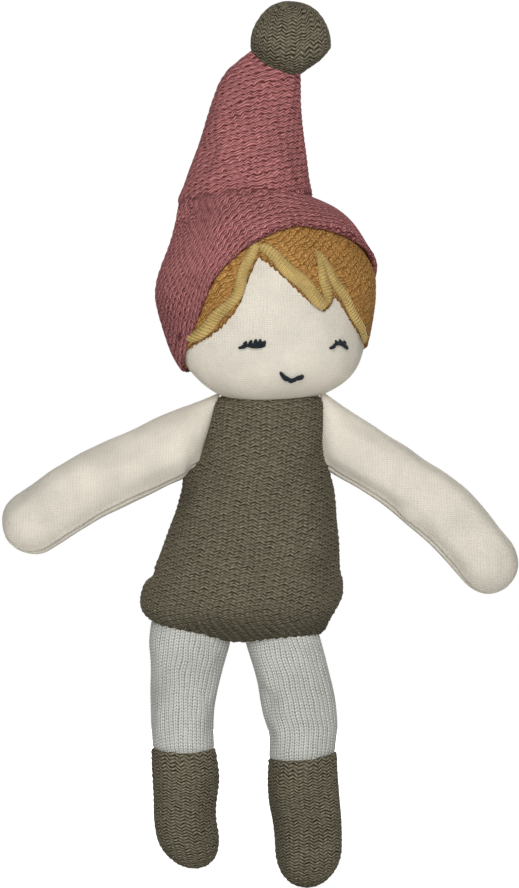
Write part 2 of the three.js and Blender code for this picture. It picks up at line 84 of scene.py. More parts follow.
class ElfSizes(bpy.types.PropertyGroup):
    """Sizes of the stitches and of the forms that a user would change."""
    olive_strand: length("Olive strand", "Height of one strand, half a row, of the tunic's knit", 0.845)
    olive_wale: length("Olive wale", "Width of one loop of the tunic's knit", 2.85)
    rose_strand: length("Rose strand", "Height of one strand, half a row, of the hat's knit", 0.84)
    rose_wale: length("Rose wale", "Width of one stitch of the hat's knit", 2.29)
    tights_strand: length("Tights strand", "Height of one row of the tights' jersey", 0.87)
    tights_wale: length("Tights wale", "Width of one rib of the tights' jersey", 1.33)
    jersey_strand: length("Jersey strand", "Height of one row of the face and arm jersey", 0.56)
    jersey_wale: length("Jersey wale", "Width of one rib of the face and arm jersey", 0.84)
    hair_strand: length("Hair strand", "Height of one strand, half a row, of the hair cloth", 0.8)
    hair_wale: length("Hair wale", "Width of one stitch of the hair cloth", 1.7)
    knit_depth: length("Knit depth", "How far the rows of olive and rose knit stand out", 0.26)
    satin_width: length("Satin width", "Width of the fringe's satin bars", 3.6)
    grid: length("Grid", "Spacing of the points on knitted cloth", 0.37)


class ElfColours(bpy.types.PropertyGroup):
    """Yarn, cloth and thread colours."""
    olive: colour("Olive", "Tunic, boots and pom-pom yarn", "#6E6755")
    rose: colour("Rose", "Hat yarn", "#A16464")
    cream: colour("Cream", "Face and arm jersey", "#D8D2C6")
    grey: colour("Grey", "Tights jersey", "#BCBDB7")
    ochre: colour("Ochre", "Hair cloth", "#B08248")
    gold: colour("Gold", "Satin stitch", "#B79E65")
    ink: colour("Ink", "Eyes and mouth", "#23272B")
    rust: colour("Rust", "Sewing thread", "#6E4A34")


def smooth(share):
    """A share eased from 0 to 1 with flat ends."""
    share = np.clip(share, 0, 1)
    return share * share * (3 - 2 * share)


def lerp(a, b, share):
    """The value at a share of the way from a to b."""
    return a + (b - a) * share


def unit(vectors):
    """Vectors scaled to a length of 1."""
    return vectors / (np.linalg.norm(vectors, axis=-1, keepdims=True) + 1e-12)


def angles(ways, way):
    """Angles between unit directions and one direction."""
    return np.arccos(np.clip(ways @ unit(np.array(way)), -1, 1))


def swung(first, second, angle):
    """Directions at angles from a first direction towards a second one at right angles to it."""
    return np.cos(angle)[..., None] * first + np.sin(angle)[..., None] * second


def bump(distance, width):
    """A bell of height 1 about zero distance."""
    return np.exp(-(distance / width) ** 2)


def rounding(distance, reach, power=2.0):
    """The rounded end of a form: a quarter superellipse from 0 at the end to 1 at the reach."""
    return (1 - (1 - np.clip(distance / reach, 0, 1)) ** power) ** (1 / power)


def through(points, share):
    """A smooth line through points at shares of its knots: a Catmull-Rom curve."""
    knots = np.asarray(points, float)
    place = np.clip(share, 0, 1) * (len(knots) - 1)
    first = np.minimum(place.astype(int), len(knots) - 2)
    f = (place - first)[..., None]
    line = np.concatenate([2 * knots[:1] - knots[1:2], knots, 2 * knots[-1:] - knots[-2:-1]])
    a, b, c, d = (line[first + i] for i in range(4))
    return 0.5 * (2 * b + (c - a) * f + (2 * a - 5 * b + 4 * c - d) * f ** 2
                  + (3 * b - a - 3 * c + d) * f ** 3)


def eased(knots, at):
    """A smooth curve through (place, value) knots: cubic pieces that share the knots' mean slopes."""
    places, values = np.array(knots, float).T
    slopes = np.gradient(values, places)
    i = np.clip(np.searchsorted(places, at) - 1, 0, len(places) - 2)
    span = places[i + 1] - places[i]
    f = np.clip((at - places[i]) / span, 0, 1)
    return ((1 + 2 * f) * (1 - f) ** 2 * values[i] + f * (1 - f) ** 2 * span * slopes[i]
            + f * f * (3 - 2 * f) * values[i + 1] + f * f * (f - 1) * span * slopes[i + 1])


def drift(points, size, seed):
    """A wandering field of about -1 to 1: nine sine waves of one length in seeded directions."""
    rng = np.random.default_rng(seed)
    field = np.zeros(points.shape[:-1])
    for way, phase, stretch in zip(
            unit(rng.normal(size=(9, 3))), rng.uniform(0, 6.3, 9), rng.uniform(0.75, 1.35, 9)):
        field += np.sin(points @ way * (TURN / (size * stretch)) + phase)
    return field / 2.4


def circle(count):
    """Angles of evenly spaced points round a circle."""
    return np.linspace(0, TURN, count, endpoint=False)


def outward(grid, ring=True):
    """Unit normals of a grid: across the columns' direction and the rows' direction."""
    if ring:
        around = np.roll(grid, -1, 1) - np.roll(grid, 1, 1)
    else:
        around = np.gradient(grid, axis=1)
    return unit(np.cross(around, np.gradient(grid, axis=0)))


def pushed(grid, by, ring=True):
    """A grid whose points are moved out along its normals."""
    return grid + outward(grid, ring) * by[..., None]


def lengths(grid, axis):
    """Distance along a grid's rows (axis 1) or columns (axis 0), from the first point."""
    steps = np.linalg.norm(np.diff(grid, axis=axis), axis=-1)
    return np.insert(np.cumsum(steps, axis=axis), 0, 0, axis=axis)


def closed(grid):
    """A grid that runs round with its first column set again after its last."""
    return np.concatenate([grid, grid[:, :1]], 1)


def from_front(grid):
    """Distance round each row from its front: the middle column of a grid that starts at the back."""
    round_row = lengths(grid, 1)
    return round_row - round_row[:, grid.shape[1] // 2, None]


def courses(s, t, wale, strand, brick):
    """Rows of knit two strands high, 0 between them to 1 on them: straight, or broken like brickwork into
    loops of the wale's width."""
    rows = np.cos(math.pi * t / strand)
    return 0.5 + 0.5 * rows * (-np.cos(math.pi * s / wale) if brick else 1)


def node(tree, kind, inputs=(), **settings):
    """Adds a node with its settings: inputs, by number or name, get a value or another node's socket."""
    made = tree.nodes.new(kind)
    for name, value in settings.items():
        setattr(made, name, value)
    for key, value in inputs.items() if isinstance(inputs, dict) else enumerate(inputs):
        if isinstance(value, bpy.types.NodeSocket):
            tree.links.new(value, made.inputs[key])
        else:
            made.inputs[key].default_value = value
    return made


def cloth(name, tone, wale, strand, zigzag, bold, valley, crest, depth, fuzz, speck, rough=0.95,
          brick=False, ribs=1, lit=0.5):
    """A knitted finish on the piece's own cloth map, in millimetres: the sum of rows two strands high
    (straight, or broken into loops set like brickwork), of zigzag strands and of ribs (with painted light
    at a share of their width, where the strands are bolder too), each as bold as given. Its colour goes
    from dark, richer in colour, in the knit's hollows to light on its crests: painted shade and painted
    highlights. It varies from stitch to stitch and is blurred by fibre noise."""
    if name in bpy.data.materials:
        return bpy.data.materials[name]
    made = bpy.data.materials.new(name)
    made.use_nodes = True
    tree = made.node_tree
    place = node(tree, "ShaderNodeTexCoord").outputs["Object"]
    laid = node(tree, "ShaderNodeUVMap", uv_map="cloth").outputs["UV"]
    relief = node(tree, "ShaderNodeAttribute", attribute_name="relief").outputs["Fac"]
    shade = node(tree, "ShaderNodeAttribute", attribute_name="shade").outputs["Fac"]
    fibre = node(tree, "ShaderNodeTexNoise", {"Vector": place, "Scale": 1 / (0.9 * MM), "Detail": 3.0,
                                              "Roughness": 0.7})
    patch = node(tree, "ShaderNodeTexNoise", {"Vector": place, "Scale": 1 / (13 * MM), "Detail": 2.0})
    chance = node(tree, "ShaderNodeTexNoise", {"Vector": laid, "Scale": 0.4 / strand, "Detail": 1.0})
    hairy = node(tree, "ShaderNodeVectorMath", (fibre.outputs["Color"], (fuzz, fuzz, 0), laid),
                 operation="MULTIPLY_ADD")
    split = node(tree, "ShaderNodeSeparateXYZ", (hairy.outputs[0],))
    values = {"across": split.outputs[0], "up": split.outputs[1], "fibre": fibre.outputs["Fac"],
              "shade": shade}
    # Values carried from one range to another
    ranges = (
        ("chance", chance.outputs["Fac"], 0.3, 0.7, 0.4, 1.6),
        ("speck", fibre.outputs["Fac"], 0.3, 0.7, 1 - speck, 1 + speck),
        ("patch", patch.outputs["Fac"], 0.3, 0.7, 0.9, 1.1),
        # The mesh's relief as painted shade between its rows and painted light on them
        ("relief", relief, 0.0, 1.0, 0.92, 1.08),
    )
    for found, *inputs in ranges:
        values[found] = node(tree, "ShaderNodeMapRange", inputs).outputs[0]
    # What each sum is called, how it is worked out and from which values
    sums = (
        ("column", "DIVIDE", "across", wale),
        ("level", "DIVIDE", "up", strand),
        ("halves", "MULTIPLY", "column", 2.0),
        ("bend", "PINGPONG", "halves", 1.0),
        ("slant", "MULTIPLY_ADD", "bend", zigzag, "level"),
        ("slant turn", "MULTIPLY", "slant", TURN),
        ("strands", "COSINE", "slant turn"),
        ("row turn", "MULTIPLY", "level", math.pi),
        ("rows", "COSINE", "row turn"),
        ("loop turn", "MULTIPLY_ADD", "column", math.pi * brick, math.pi * brick),
        ("loops", "COSINE", "loop turn"),
        ("rows", "MULTIPLY", "rows", "loops"),
        # Painted light at the lit share of each rib's width
        ("rib", "MULTIPLY_ADD", "column", ribs, -lit),
        ("rib turn", "MULTIPLY", "rib", TURN),
        ("ribs", "COSINE", "rib turn"),
        ("bolder", "MULTIPLY_ADD", "ribs", 0.4, 1.0),
        ("strands", "MULTIPLY", "strands", "bolder"),
        ("knit", "MULTIPLY", "ribs", bold[2]),
        ("knit", "MULTIPLY_ADD", "strands", bold[1], "knit"),
        ("knit", "MULTIPLY_ADD", "rows", bold[0], "knit"),
        ("height", "MULTIPLY_ADD", "knit", "chance", 0.5),
        ("bright", "MULTIPLY", "speck", "patch"),
        ("bright", "MULTIPLY", "bright", "relief"),
        # The piece's own painted shade
        ("bright", "MULTIPLY", "bright", "shade"),
        ("hairy height", "MULTIPLY_ADD", "fibre", 0.5, "height"),
    )
    for found, operation, *inputs in sums:
        values[found] = node(tree, "ShaderNodeMath", [values.get(value, value) for value in inputs],
                             operation=operation, use_clamp=found == "height").outputs[0]
    peak = max(tone)
    # Painted shade in the knit's hollows, deeper and richer in colour, and painted highlights on its crests
    dark = [peak * valley * (c / peak) ** 1.4 for c in tone]
    light = [min(1, peak * crest * (c / peak) ** 0.88) for c in tone]
    yarn = node(tree, "ShaderNodeMix", {"Factor": values["height"], 6: dark + [1], 7: light + [1]},
                data_type="RGBA")
    toned = node(tree, "ShaderNodeVectorMath", {0: yarn.outputs[2], "Scale": values["bright"]},
                 operation="SCALE")
    relit = node(tree, "ShaderNodeBump", {"Height": values["hairy height"], "Strength": 0.8,
                                          "Distance": depth * MM})
    shader = tree.nodes["Principled BSDF"]
    tint = [c / peak for c in tone] + [1]
    for key, value in (("Roughness", rough), ("Sheen Weight", 0.05), ("Sheen Tint", tint),
                       ("Specular IOR Level", 0.15), ("Specular Tint", tint)):
        shader.inputs[key].default_value = value
    tree.links.new(toned.outputs[0], shader.inputs["Base Color"])
    tree.links.new(relit.outputs[0], shader.inputs["Normal"])
    return made


def put(name, points, faces, material, relief=1.0, shade=1.0, laid=None):
    """Makes an object from points in millimetres, faces given as arrays of corner numbers, each
    point's relief and shade and each corner's place on the cloth."""
    mesh = bpy.data.meshes.new(name)
    corners = np.concatenate([f.ravel() for f in faces]).astype(np.int32)
    sizes = np.concatenate([np.full(len(f), f.shape[1]) for f in faces])
    starts = np.insert(np.cumsum(sizes)[:-1], 0, 0).astype(np.int32)
    mesh.vertices.add(len(points))
    mesh.vertices.foreach_set("co", (points * MM).astype(np.float32).ravel())
    mesh.loops.add(len(corners))
    mesh.loops.foreach_set("vertex_index", corners)
    mesh.polygons.add(len(starts))
    mesh.polygons.foreach_set("loop_start", starts)
    mesh.update(calc_edges=True)
    mesh.polygons.foreach_set("use_smooth", np.ones(len(starts), bool))
    for kind, values in (("relief", relief), ("shade", shade)):
        spread = np.broadcast_to(values, len(points)).astype(np.float32)
        mesh.attributes.new(kind, "FLOAT", "POINT").data.foreach_set("value", spread)
    if laid is not None:
        mesh.uv_layers.new(name="cloth").uv.foreach_set("vector", laid.astype(np.float32).ravel())
    if mesh.validate():
        raise RuntimeError(f"{name} has faulty faces")
    mesh.materials.append(material)
    made = bpy.data.objects.new(name, mesh)
    bpy.context.scene.collection.objects.link(made)
    return made


def cells(values):
    """The four corners of each cell of a grid, in order round the cell."""
    return np.stack([values[:-1, :-1], values[:-1, 1:], values[1:, 1:], values[1:, :-1]], 2)


def tube(name, grid, material, relief, shade, laid):
    """A closed skin from a grid that runs round: rows of quads and a fan at each end. The places
    on the cloth have one column more than the grid, where it closes."""
    rows, columns = grid.shape[:2]
    numbers = closed(np.arange(rows * columns).reshape(rows, columns))
    quads = cells(numbers).reshape(-1, 4)
    tip = np.full(columns, rows * columns)
    below = np.stack([tip, numbers[0, 1:], numbers[0, :-1]], -1)
    above = np.stack([tip + 1, numbers[-1, :-1], numbers[-1, 1:]], -1)
    points = np.concatenate([grid.reshape(-1, 3), [grid[0].mean(0), grid[-1].mean(0)]])
    low = np.stack([(laid[0, 1:] + laid[0, :-1]) / 2, laid[0, 1:], laid[0, :-1]], 1)
    high = np.stack([(laid[-1, 1:] + laid[-1, :-1]) / 2, laid[-1, :-1], laid[-1, 1:]], 1)
    spots = np.concatenate([cells(laid).reshape(-1, 2), low.reshape(-1, 2), high.reshape(-1, 2)])
    spread = [np.append(v.ravel(), [v[0].mean(), v[-1].mean()])
              for v in (np.broadcast_to(v, (rows, columns)) for v in (relief, shade))]
    return put(name, points, [quads, below, above], material, *spread, spots)


def layer(name, outer, inner, material, relief, shade, laid):
    """A closed sheet between two grids of one shape: both faces and the strip round their border."""
    rows, columns = outer.shape[:2]
    numbers = np.arange(rows * columns).reshape(rows, columns)
    front = cells(numbers).reshape(-1, 4)
    back = front[:, ::-1] + rows * columns
    rim = np.concatenate([numbers[0], numbers[1:, -1], numbers[-1, -2::-1], numbers[-2:0:-1, 0]])
    ahead = np.roll(rim, -1)
    strip = np.stack([rim + rows * columns, ahead + rows * columns, ahead, rim], -1)
    points = np.concatenate([outer.reshape(-1, 3), inner.reshape(-1, 3)])
    flat = laid.reshape(-1, 2)
    spots = np.concatenate([flat[front], flat[front[:, ::-1]], flat[strip % (rows * columns)]])
    return put(name, points, [front, back, strip], material, np.tile(relief.ravel(), 2),
               np.tile(shade.ravel(), 2), spots)


def turns(columns, ratio=1.0):
    """Angles round an oval, evenly spaced along it, from the back by the left and the front."""
    fine = np.linspace(0, TURN, 2001)
    half_step = 0.00157
    step = np.hypot(np.cos(fine[1:] - half_step), ratio * np.sin(fine[1:] - half_step))
    travel = np.insert(np.cumsum(step), 0, 0)
    even = np.linspace(0, travel[-1], columns, endpoint=False)
    return math.pi / 2 + np.interp(even, travel, fine)


def knitted(name, grid, relief, depth, material, s, t, shade=1.0):
    """A closed skin whose rows stand out of the grid by their relief."""
    relief = relief[:, :-1]
    moved = pushed(grid, depth * (relief - 0.5))
    return tube(name, moved, material, relief, shade, np.stack([s, t], -1))


def stuffed(grid, around, most, held=False):
    """A skin plumped by its wadding: a coarse copy of the grid is simulated as slack cloth under pressure,
    with its ends, its seams at both sides and any held points fixed, and the grid's points go with the
    copy's, at most so far."""
    scene = bpy.context.scene
    apart, frames = 14, 20
    picks = (np.linspace(0, len(grid) - 1, max(6, len(grid) // apart)).astype(int),
             np.arange(0, grid.shape[1], apart))
    coarse = grid[np.ix_(*picks)]
    numbers = np.arange(coarse[..., 0].size).reshape(coarse.shape[:2])
    skin = put("wadded_skin", coarse.reshape(-1, 3), [cells(closed(numbers)).reshape(-1, 4)], None)
    fixed = (np.zeros(grid.shape[:2], bool) | held | (np.abs(np.cos(around)) > 0.95))[np.ix_(*picks)]
    fixed[[0, -1]] = True
    skin.vertex_groups.new(name="held").add(numbers[fixed].tolist(), 1.0, "REPLACE")
    fabric = skin.modifiers.new("fabric", "CLOTH").settings
    fabric.vertex_group_mass = "held"
    fabric.mass = 0.002
    fabric.shrink_min = -0.012
    fabric.use_pressure = True
    fabric.uniform_pressure_force = 4
    fabric.effector_weights.gravity = 0
    for number in range(1, frames + 1):
        scene.frame_set(number)
    moved = np.empty(coarse.size, np.float32)
    skin.evaluated_get(bpy.context.evaluated_depsgraph_get()).data.vertices.foreach_get("co", moved)
    shift = moved.reshape(coarse.shape) / MM - coarse
    bpy.data.meshes.remove(skin.data)
    scene.frame_set(1)
    shift = shift * np.minimum(1, most / (np.linalg.norm(shift, axis=-1, keepdims=True) + 1e-9))
    for axis, ends in ((0, picks[0]), (1, np.append(picks[1], grid.shape[1]))):
        place = np.interp(np.arange(grid.shape[axis]), ends, np.arange(len(ends)))
        low = place.astype(int)
        share = np.expand_dims(smooth(place - low), (1 - axis, 2))
        count = shift.shape[axis]
        shift = lerp(np.take(shift, low % count, axis), np.take(shift, (low + 1) % count, axis), share)
    return grid + shift


# The head's form, in millimetres from its centre
HEAD = np.array([2.93, FRONT_Y, 165.1])
HEAD_TURN = math.radians(20)
HEAD_HALF = np.array([29.6, 25.5])
HEAD_CROWN = 29.8
HEAD_CHIN = 28.5
JAW_FULLNESS = 2.4
# How far behind its middle the head's two halves meet, and the radius at which cloth is laid round it
HEAD_SEAM = 12
HEAD_ROUND = 27
# Directions in which the head is hollow or full, how far, and over how wide an angle
HOLLOWS = (
    ((0.88, -0.32, -0.37), -1.1, 0.22), ((0.92, -0.33, -0.19), -0.6, 0.14), ((0.9, -0.33, 0.27), 0.8, 0.17),
    ((-0.72, 0.26, -0.62), -1.1, 0.3), ((0.74, -0.27, -0.62), 0.6, 0.28),
)


def head_turned(points, angle=HEAD_TURN):
    """Points turned about the upright axis, from the face's own directions to the doll's."""
    c, s = math.cos(angle), math.sin(angle)
    x, y, z = np.moveaxis(points, -1, 0)
    return np.stack([x * c - y * s, x * s + y * c, z], -1)


def head_reach(ways, grow):
    """Distance from the head's centre to its skin: an ellipsoid above and a fuller superellipsoid
    below, both grown evenly for the layers on top, with its hollows and swellings."""
    x, y, z = np.moveaxis(ways, -1, 0)
    level = np.hypot(x / (HEAD_HALF[0] + grow), y / (HEAD_HALF[1] + grow))
    rise = np.abs(z) / np.where(z > 0, HEAD_CROWN + grow, HEAD_CHIN + grow)
    power = np.where(z > 0, 2.0, JAW_FULLNESS)
    reach = (level ** power + rise ** power + 1e-12) ** (-1 / power)
    for way, swell, wide in HOLLOWS:
        reach = reach + swell * bump(angles(ways, way), wide)
    return reach


def on_head(ways, grow):
    """Points of the head's skin in the doll's place, from directions in the face's own frame."""
    ways = unit(ways)
    return HEAD + head_turned(ways * head_reach(ways, grow)[..., None])


def head_girth(z):
    """The share of its full width and depth that the head has at heights from its centre."""
    above = np.sqrt(np.clip(1 - (z / HEAD_CROWN) ** 2, 0.01, 1))
    below = np.clip(1 - np.abs(z / HEAD_CHIN) ** JAW_FULLNESS, 0.01, 1) ** (1 / JAW_FULLNESS)
    return np.where(z > 0, above, below)


def on_face(x, z, grow):
    """Points on the front of the head above places x across and z up, in the face's own frame."""
    y = -HEAD_HALF[1] * np.sqrt(np.clip(head_girth(z) ** 2 - (x / HEAD_HALF[0]) ** 2, 0.01, 1))
    return on_head(np.stack([x, y, z], -1), grow)


class ElfPiece:
    """What the pieces' operators share."""
    bl_options = {"REGISTER", "UNDO"}

    @staticmethod
    def size(name):
        """A size of the sidebar in millimetres."""
        return getattr(bpy.context.scene.elf_sizes, name) / MM

    @staticmethod
    def tone(name):
        """A colour of the sidebar."""
        return getattr(bpy.context.scene.elf_colours, name)

    def stitch(self, kind):
        """The width of a kind of stitch and the height of its strand."""
        return self.size(f"{kind}_wale"), self.size(f"{kind}_strand")

    def rows(self, kind, s, t, brick=False):
        """The rows of a kind of stitch at places on the cloth."""
        return courses(s, t, *self.stitch(kind), brick)

    def olive_yarn(self, name="olive wool knit", loops=0.13, strands=0.28):
        """Wool-mix yarn, purl side out: matt, hairy, with painted shade in short holes between loops."""
        return cloth(name, self.tone("olive"), *self.stitch("olive"), zigzag=0.8,
                     bold=(loops, strands, 0.1), valley=0.06, crest=1.5, depth=0.4, fuzz=0.46, speck=0.3,
                     brick=True, ribs=2)

    def gathered_yarn(self):
        """The olive yarn in a tighter knit: bolder strands, with hardly any holes."""
        return self.olive_yarn("gathered olive wool", 0.05, 0.42)

    def rose_yarn(self):
        """Wool-mix yarn in V stitches laid sideways: matt, hairy, painted plum-dark shade between its rows.
        """
        return cloth("rose wool knit", self.tone("rose"), *self.stitch("rose"), zigzag=0.7,
                     bold=(0.17, 0.4, 0.14), valley=0.3, crest=1.47, depth=0.36, fuzz=0.4, speck=0.28,
                     # Painted light on the climbing side of each stitch
                     lit=0.75)

    def cream_jersey(self):
        """Fine cotton jersey stretched over wadding: even, matt, with tiny V stitches."""
        return cloth("cream cotton jersey", self.tone("cream"), *self.stitch("jersey"), zigzag=0.6,
                     bold=(0, 0.32, 0.16), valley=0.84, crest=1.1, depth=0.08, fuzz=0.17, speck=0.04,
                     rough=0.92)

    def grey_jersey(self):
        """Ribbed cotton jersey: columns of tiny V stitches with painted shade in dotted grooves between
        them.
        """
        return cloth("grey cotton jersey", self.tone("grey"), *self.stitch("tights"), zigzag=0.6,
                     bold=(0, 0.26, 0.26), valley=0.42, crest=1.3, depth=0.12, fuzz=0.16, speck=0.08,
                     rough=0.92, ribs=2)

    def hair_cloth(self):
        """Cotton knit laid on the slant: nubbly, matt, with painted warm brown shade in its hollows."""
        return cloth("ochre cotton knit", self.tone("ochre"), *self.stitch("hair"), zigzag=0.5,
                     bold=(0.12, 0.3, 0.12), valley=0.44, crest=1.32, depth=0.36, fuzz=0.5, speck=0.3)

    def thread(self, name, tone, pitch, valley, rough):
        """Twisted thread: fine strands across the piece's own map, with a faint gloss."""
        return cloth(name, self.tone(tone), 400.0, pitch, zigzag=0, bold=(0, 0.24, 0), valley=valley,
                     crest=1.25, depth=0.1, fuzz=0.24, speck=0.14, rough=rough, lit=0)


# The tunic's underside and height, and how far its hem rounds in below
TUNIC_FLOOR = 69.4
TUNIC_HEIGHT = 67.2
HEM_ROUND = 14.4
# Lengths of its cloth round the body, under the hem and up the side
TUNIC_GIRTH = 158
HEM_LENGTH = 26
SIDE_LENGTH = 58
# Half widths and middles of the tunic, by height above the underside of its hem
TUNIC_HALVES = ((0, 28.9), (8.8, 28.5), (14.4, 28.2), (17.2, 27.8), (20, 26.6), (22.9, 25.8), (28.5, 24.6),
                (34.2, 23.3), (39.8, 22.3), (43, 21.4), (47.5, 19.4), (52, 18), (60, 17.1), (67.2, 16.2))
TUNIC_MIDDLES = ((0, 1), (3, -1.8), (6, -4.8), (14.4, -4.5), (28.5, -2), (42.6, -0.4), (51, 1.1),
                 (67.2, 2.6))
# Its half depths at the hem and at the neck
TUNIC_DEPTHS = (18.0, 9.5)


class OBJECT_OT_elf_tunic(ElfPiece, bpy.types.Operator):
    """Knits the tunic: the stuffed body's skin, from under the hem to inside the neck"""
    bl_idname = "object.elf_tunic"
    bl_label = "Tunic"

    def execute(self, context):
        step = self.size("grid")
        # Ovals by height, rounded in under the hem and dented at both sides
        around = turns(int(TUNIC_GIRTH / step), 0.6)
        under = HEM_ROUND * (1 - np.cos(np.linspace(0.02, math.pi / 2, int(HEM_LENGTH / step))))
        above = np.linspace(HEM_ROUND, TUNIC_HEIGHT + 4, int(SIDE_LENGTH / step))[1:]
        h = np.concatenate([under, above])[:, None]
        share = np.clip(h / TUNIC_HEIGHT, 0, 1)
        depth = lerp(*TUNIC_DEPTHS, share ** 1.5)
        at_left, at_right = (np.clip(side * np.cos(around), 0, 1) ** 6 for side in (-1, 1))
        dents = 0.5 * bump(h - 14, 3) - 0.9 * bump(h - 19, 1.4) - 0.5 * bump(h - 38, 4)
        dents = dents + 1.6 * bump(h - 46.5, 2.4)
        width = eased(TUNIC_HALVES, h) - 0.8 * at_right * bump(h - 4.5, 2.5) + at_left * dents
        closing = 1 - 0.25 * smooth((h - TUNIC_HEIGHT + 1) / 5)
        x = eased(TUNIC_MIDDLES, h) + width * rounding(h, HEM_ROUND, 2.4) * closing * np.cos(around)
        y = FRONT_Y + depth * rounding(h, HEM_ROUND, 2.0) * closing * np.sin(around)
        grid = np.stack([x, y, TUNIC_FLOOR + h + 0 * around], -1)
        grid = stuffed(grid, around, most=0.7, held=h > TUNIC_HEIGHT - 3)
        # Rows that lean a little, more so low down, and gathers round the hem
        whole = closed(grid)
        s = from_front(whole)
        front = lengths(grid, 0)[:, len(around) // 2, None]
        t = front + lerp(0.11, 0.0, share) * s
        ribbed = 1 - smooth((h - 3) / 9)
        gather = 0.5 + 0.5 * np.cos(s[:, :-1] * TURN / 2.6 + 1.2 * drift(grid, 12, 6))
        grid = pushed(grid, 0.35 * ribbed * (gather - 0.5) + 0.2 * drift(grid, 30, 7))
        s = s + 0.2 * drift(whole, 9, 1) + 0.06 * drift(whole, 3.2, 2)
        t = t + 0.4 * drift(whole, 24, 3) + 0.06 * drift(whole, 4.2, 4)
        rows = self.rows("olive", s, t, True)
        # Painted shade round the hem, between its gathers, at the right side and under the left arm
        shade = (1 - 0.2 * ribbed) * lerp(1, 0.75 + 0.3 * gather, ribbed)
        shade = shade * (1 - 0.2 * smooth((np.cos(around) - 0.5) / 0.45))
        shade = shade * (1 - (0.08 + 0.35 * bump(h - 42, 7)) * smooth((-np.cos(around) - 0.7) / 0.25))
        made = knitted("tunic", grid, rows, self.size("knit_depth"), self.olive_yarn(), s, t, shade)
        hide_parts("tunic_front", "tunic_back", "body_fill")
        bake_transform(made)
        return {"FINISHED"}


class OBJECT_OT_elf_head(ElfPiece, bpy.types.Operator):
    """Stuffs the head: a cream jersey face in front and ochre cloth behind, sewn together"""
    bl_idname = "object.elf_head"
    bl_label = "Head"

    def half(self, name, sign, rows, bumpy, material):
        """Half of the head from its middle to the seam: polar about the front or the back, with its edge
        turned in."""
        turn = circle(330) * -sign

        def facing(fall):
            """Directions at angles from the middle of the half."""
            out = np.sin(fall)
            return np.stack([out * np.cos(turn), -sign * np.cos(fall), out * np.sin(turn)], -1)

        limit = np.full(len(turn), math.pi / 2)
        for _ in range(4):
            limit = np.arccos(np.clip(-sign * HEAD_SEAM / head_reach(facing(limit), 0), -1, 1))
        share = np.linspace(0.004, 1, rows)[:, None]
        grid = on_head(facing(share * limit), -1.2 * smooth((share - 0.975) / 0.025))
        flat = head_turned(closed(grid) - HEAD, -HEAD_TURN)
        s = np.arctan2(flat[..., 0], -sign * flat[..., 1]) * HEAD_ROUND + 0.15 * drift(flat, 6, 11)
        t = flat[..., 2] + 0.15 * drift(flat, 6, 12)
        x, z = grid[..., 0] - HEAD[0], grid[..., 2] - HEAD[2]
        # Painted light low down and painted shade towards the right
        shade = 1 + 0.15 * smooth((-9 - z) / 14) - 0.06 * smooth((x - 6) / 12)
        return knitted(name, grid, lerp(0.5, self.rows("hair", s, t), bumpy), 0.25, material, s, t, shade)

    def execute(self, context):
        face = self.half("face", sign=1, rows=150, bumpy=0, material=self.cream_jersey())
        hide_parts("face_panel", "head_fill")
        back = self.half("head_back_dressed", sign=-1, rows=130, bumpy=1, material=self.hair_cloth())
        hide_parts("head_back")
        for made in (face, back):
            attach(made, "head")
        return {"FINISHED"}


# The fringe's edge: degrees round from the middle of the face, and heights from the head's centre
FRINGE = (
    (-96, -19), (-88.8, -16.5), (-76.4, -13.8), (-65.4, -12.1), (-52.5, -9.8), (-45.7, -7.9), (-38.6, -4.5),
    (-33.0, -0.8), (-31.6, 2.6), (-28.7, 6.1), (-25.9, 9.9), (-23.7, 11.8), (-19.5, 10.5), (-12.6, 7.7),
    (-5.1, 4.1), (2.6, 0.4), (9.1, -1.8), (14.3, -3.1), (17.9, -1.4), (20.7, 1.3), (25.7, -1.3),
    (32.7, -5.1), (42.5, -8.8), (59.2, -11.7), (75, -12.5), (95, -13), (125, -16),
)
HAIR_TOP = 26.5


class OBJECT_OT_elf_hair(ElfPiece, bpy.types.Operator):
    """Lays the hair cloth over the brow, with its ragged fringe edge"""
    bl_idname = "object.elf_hair"
    bl_label = "Hair"

    def execute(self, context):
        across = np.radians(np.linspace(FRINGE[0][0], FRINGE[-1][0], 330))
        low = np.interp(np.degrees(across), *np.array(FRINGE, float).T)
        place = across * HEAD_ROUND
        low = low + 0.3 - 0.55 * np.abs(np.sin(place * 1.7 + 0.9 * np.sin(place * 0.9))) \
            - 0.2 * np.sin(place * 5.3)
        # From the ragged edge up to the top of the head, lying on it, with stitches on the slant
        share = np.linspace(0, 1, 150)[:, None]
        height = lerp(low, HAIR_TOP, share)
        rise = share * (HAIR_TOP - low)
        lift = 0.15 + 0.75 * rounding(rise, 1.2)
        slim = head_girth(height)
        ways = np.stack([HEAD_HALF[0] * slim * np.sin(across), -HEAD_HALF[1] * slim * np.cos(across),
                         height], -1)
        grid = on_head(ways, lift)
        inner = on_head(ways, -0.6)
        level = place + 0 * height
        s = 0.87 * level + 0.5 * height + 0.3 * drift(grid, 6, 21) + 0.2 * drift(grid, 2.6, 22)
        t = 0.87 * height - 0.5 * level + 0.4 * drift(grid, 7, 23) + 0.2 * drift(grid, 2.6, 24)
        rows = self.rows("hair", s, t) * (0.65 - 0.35 * np.cos(TURN * s / self.size("hair_wale")))
        outer = pushed(grid, 0.12 * (rows - 0.5), ring=False)
        shade = 0.62 + 0.38 * smooth(rise / 1.8)
        made = layer("hair_dressed", outer, inner, self.hair_cloth(), rows, shade, np.stack([s, t], -1))
        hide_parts("hair")
        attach(made, "head")
        return {"FINISHED"}


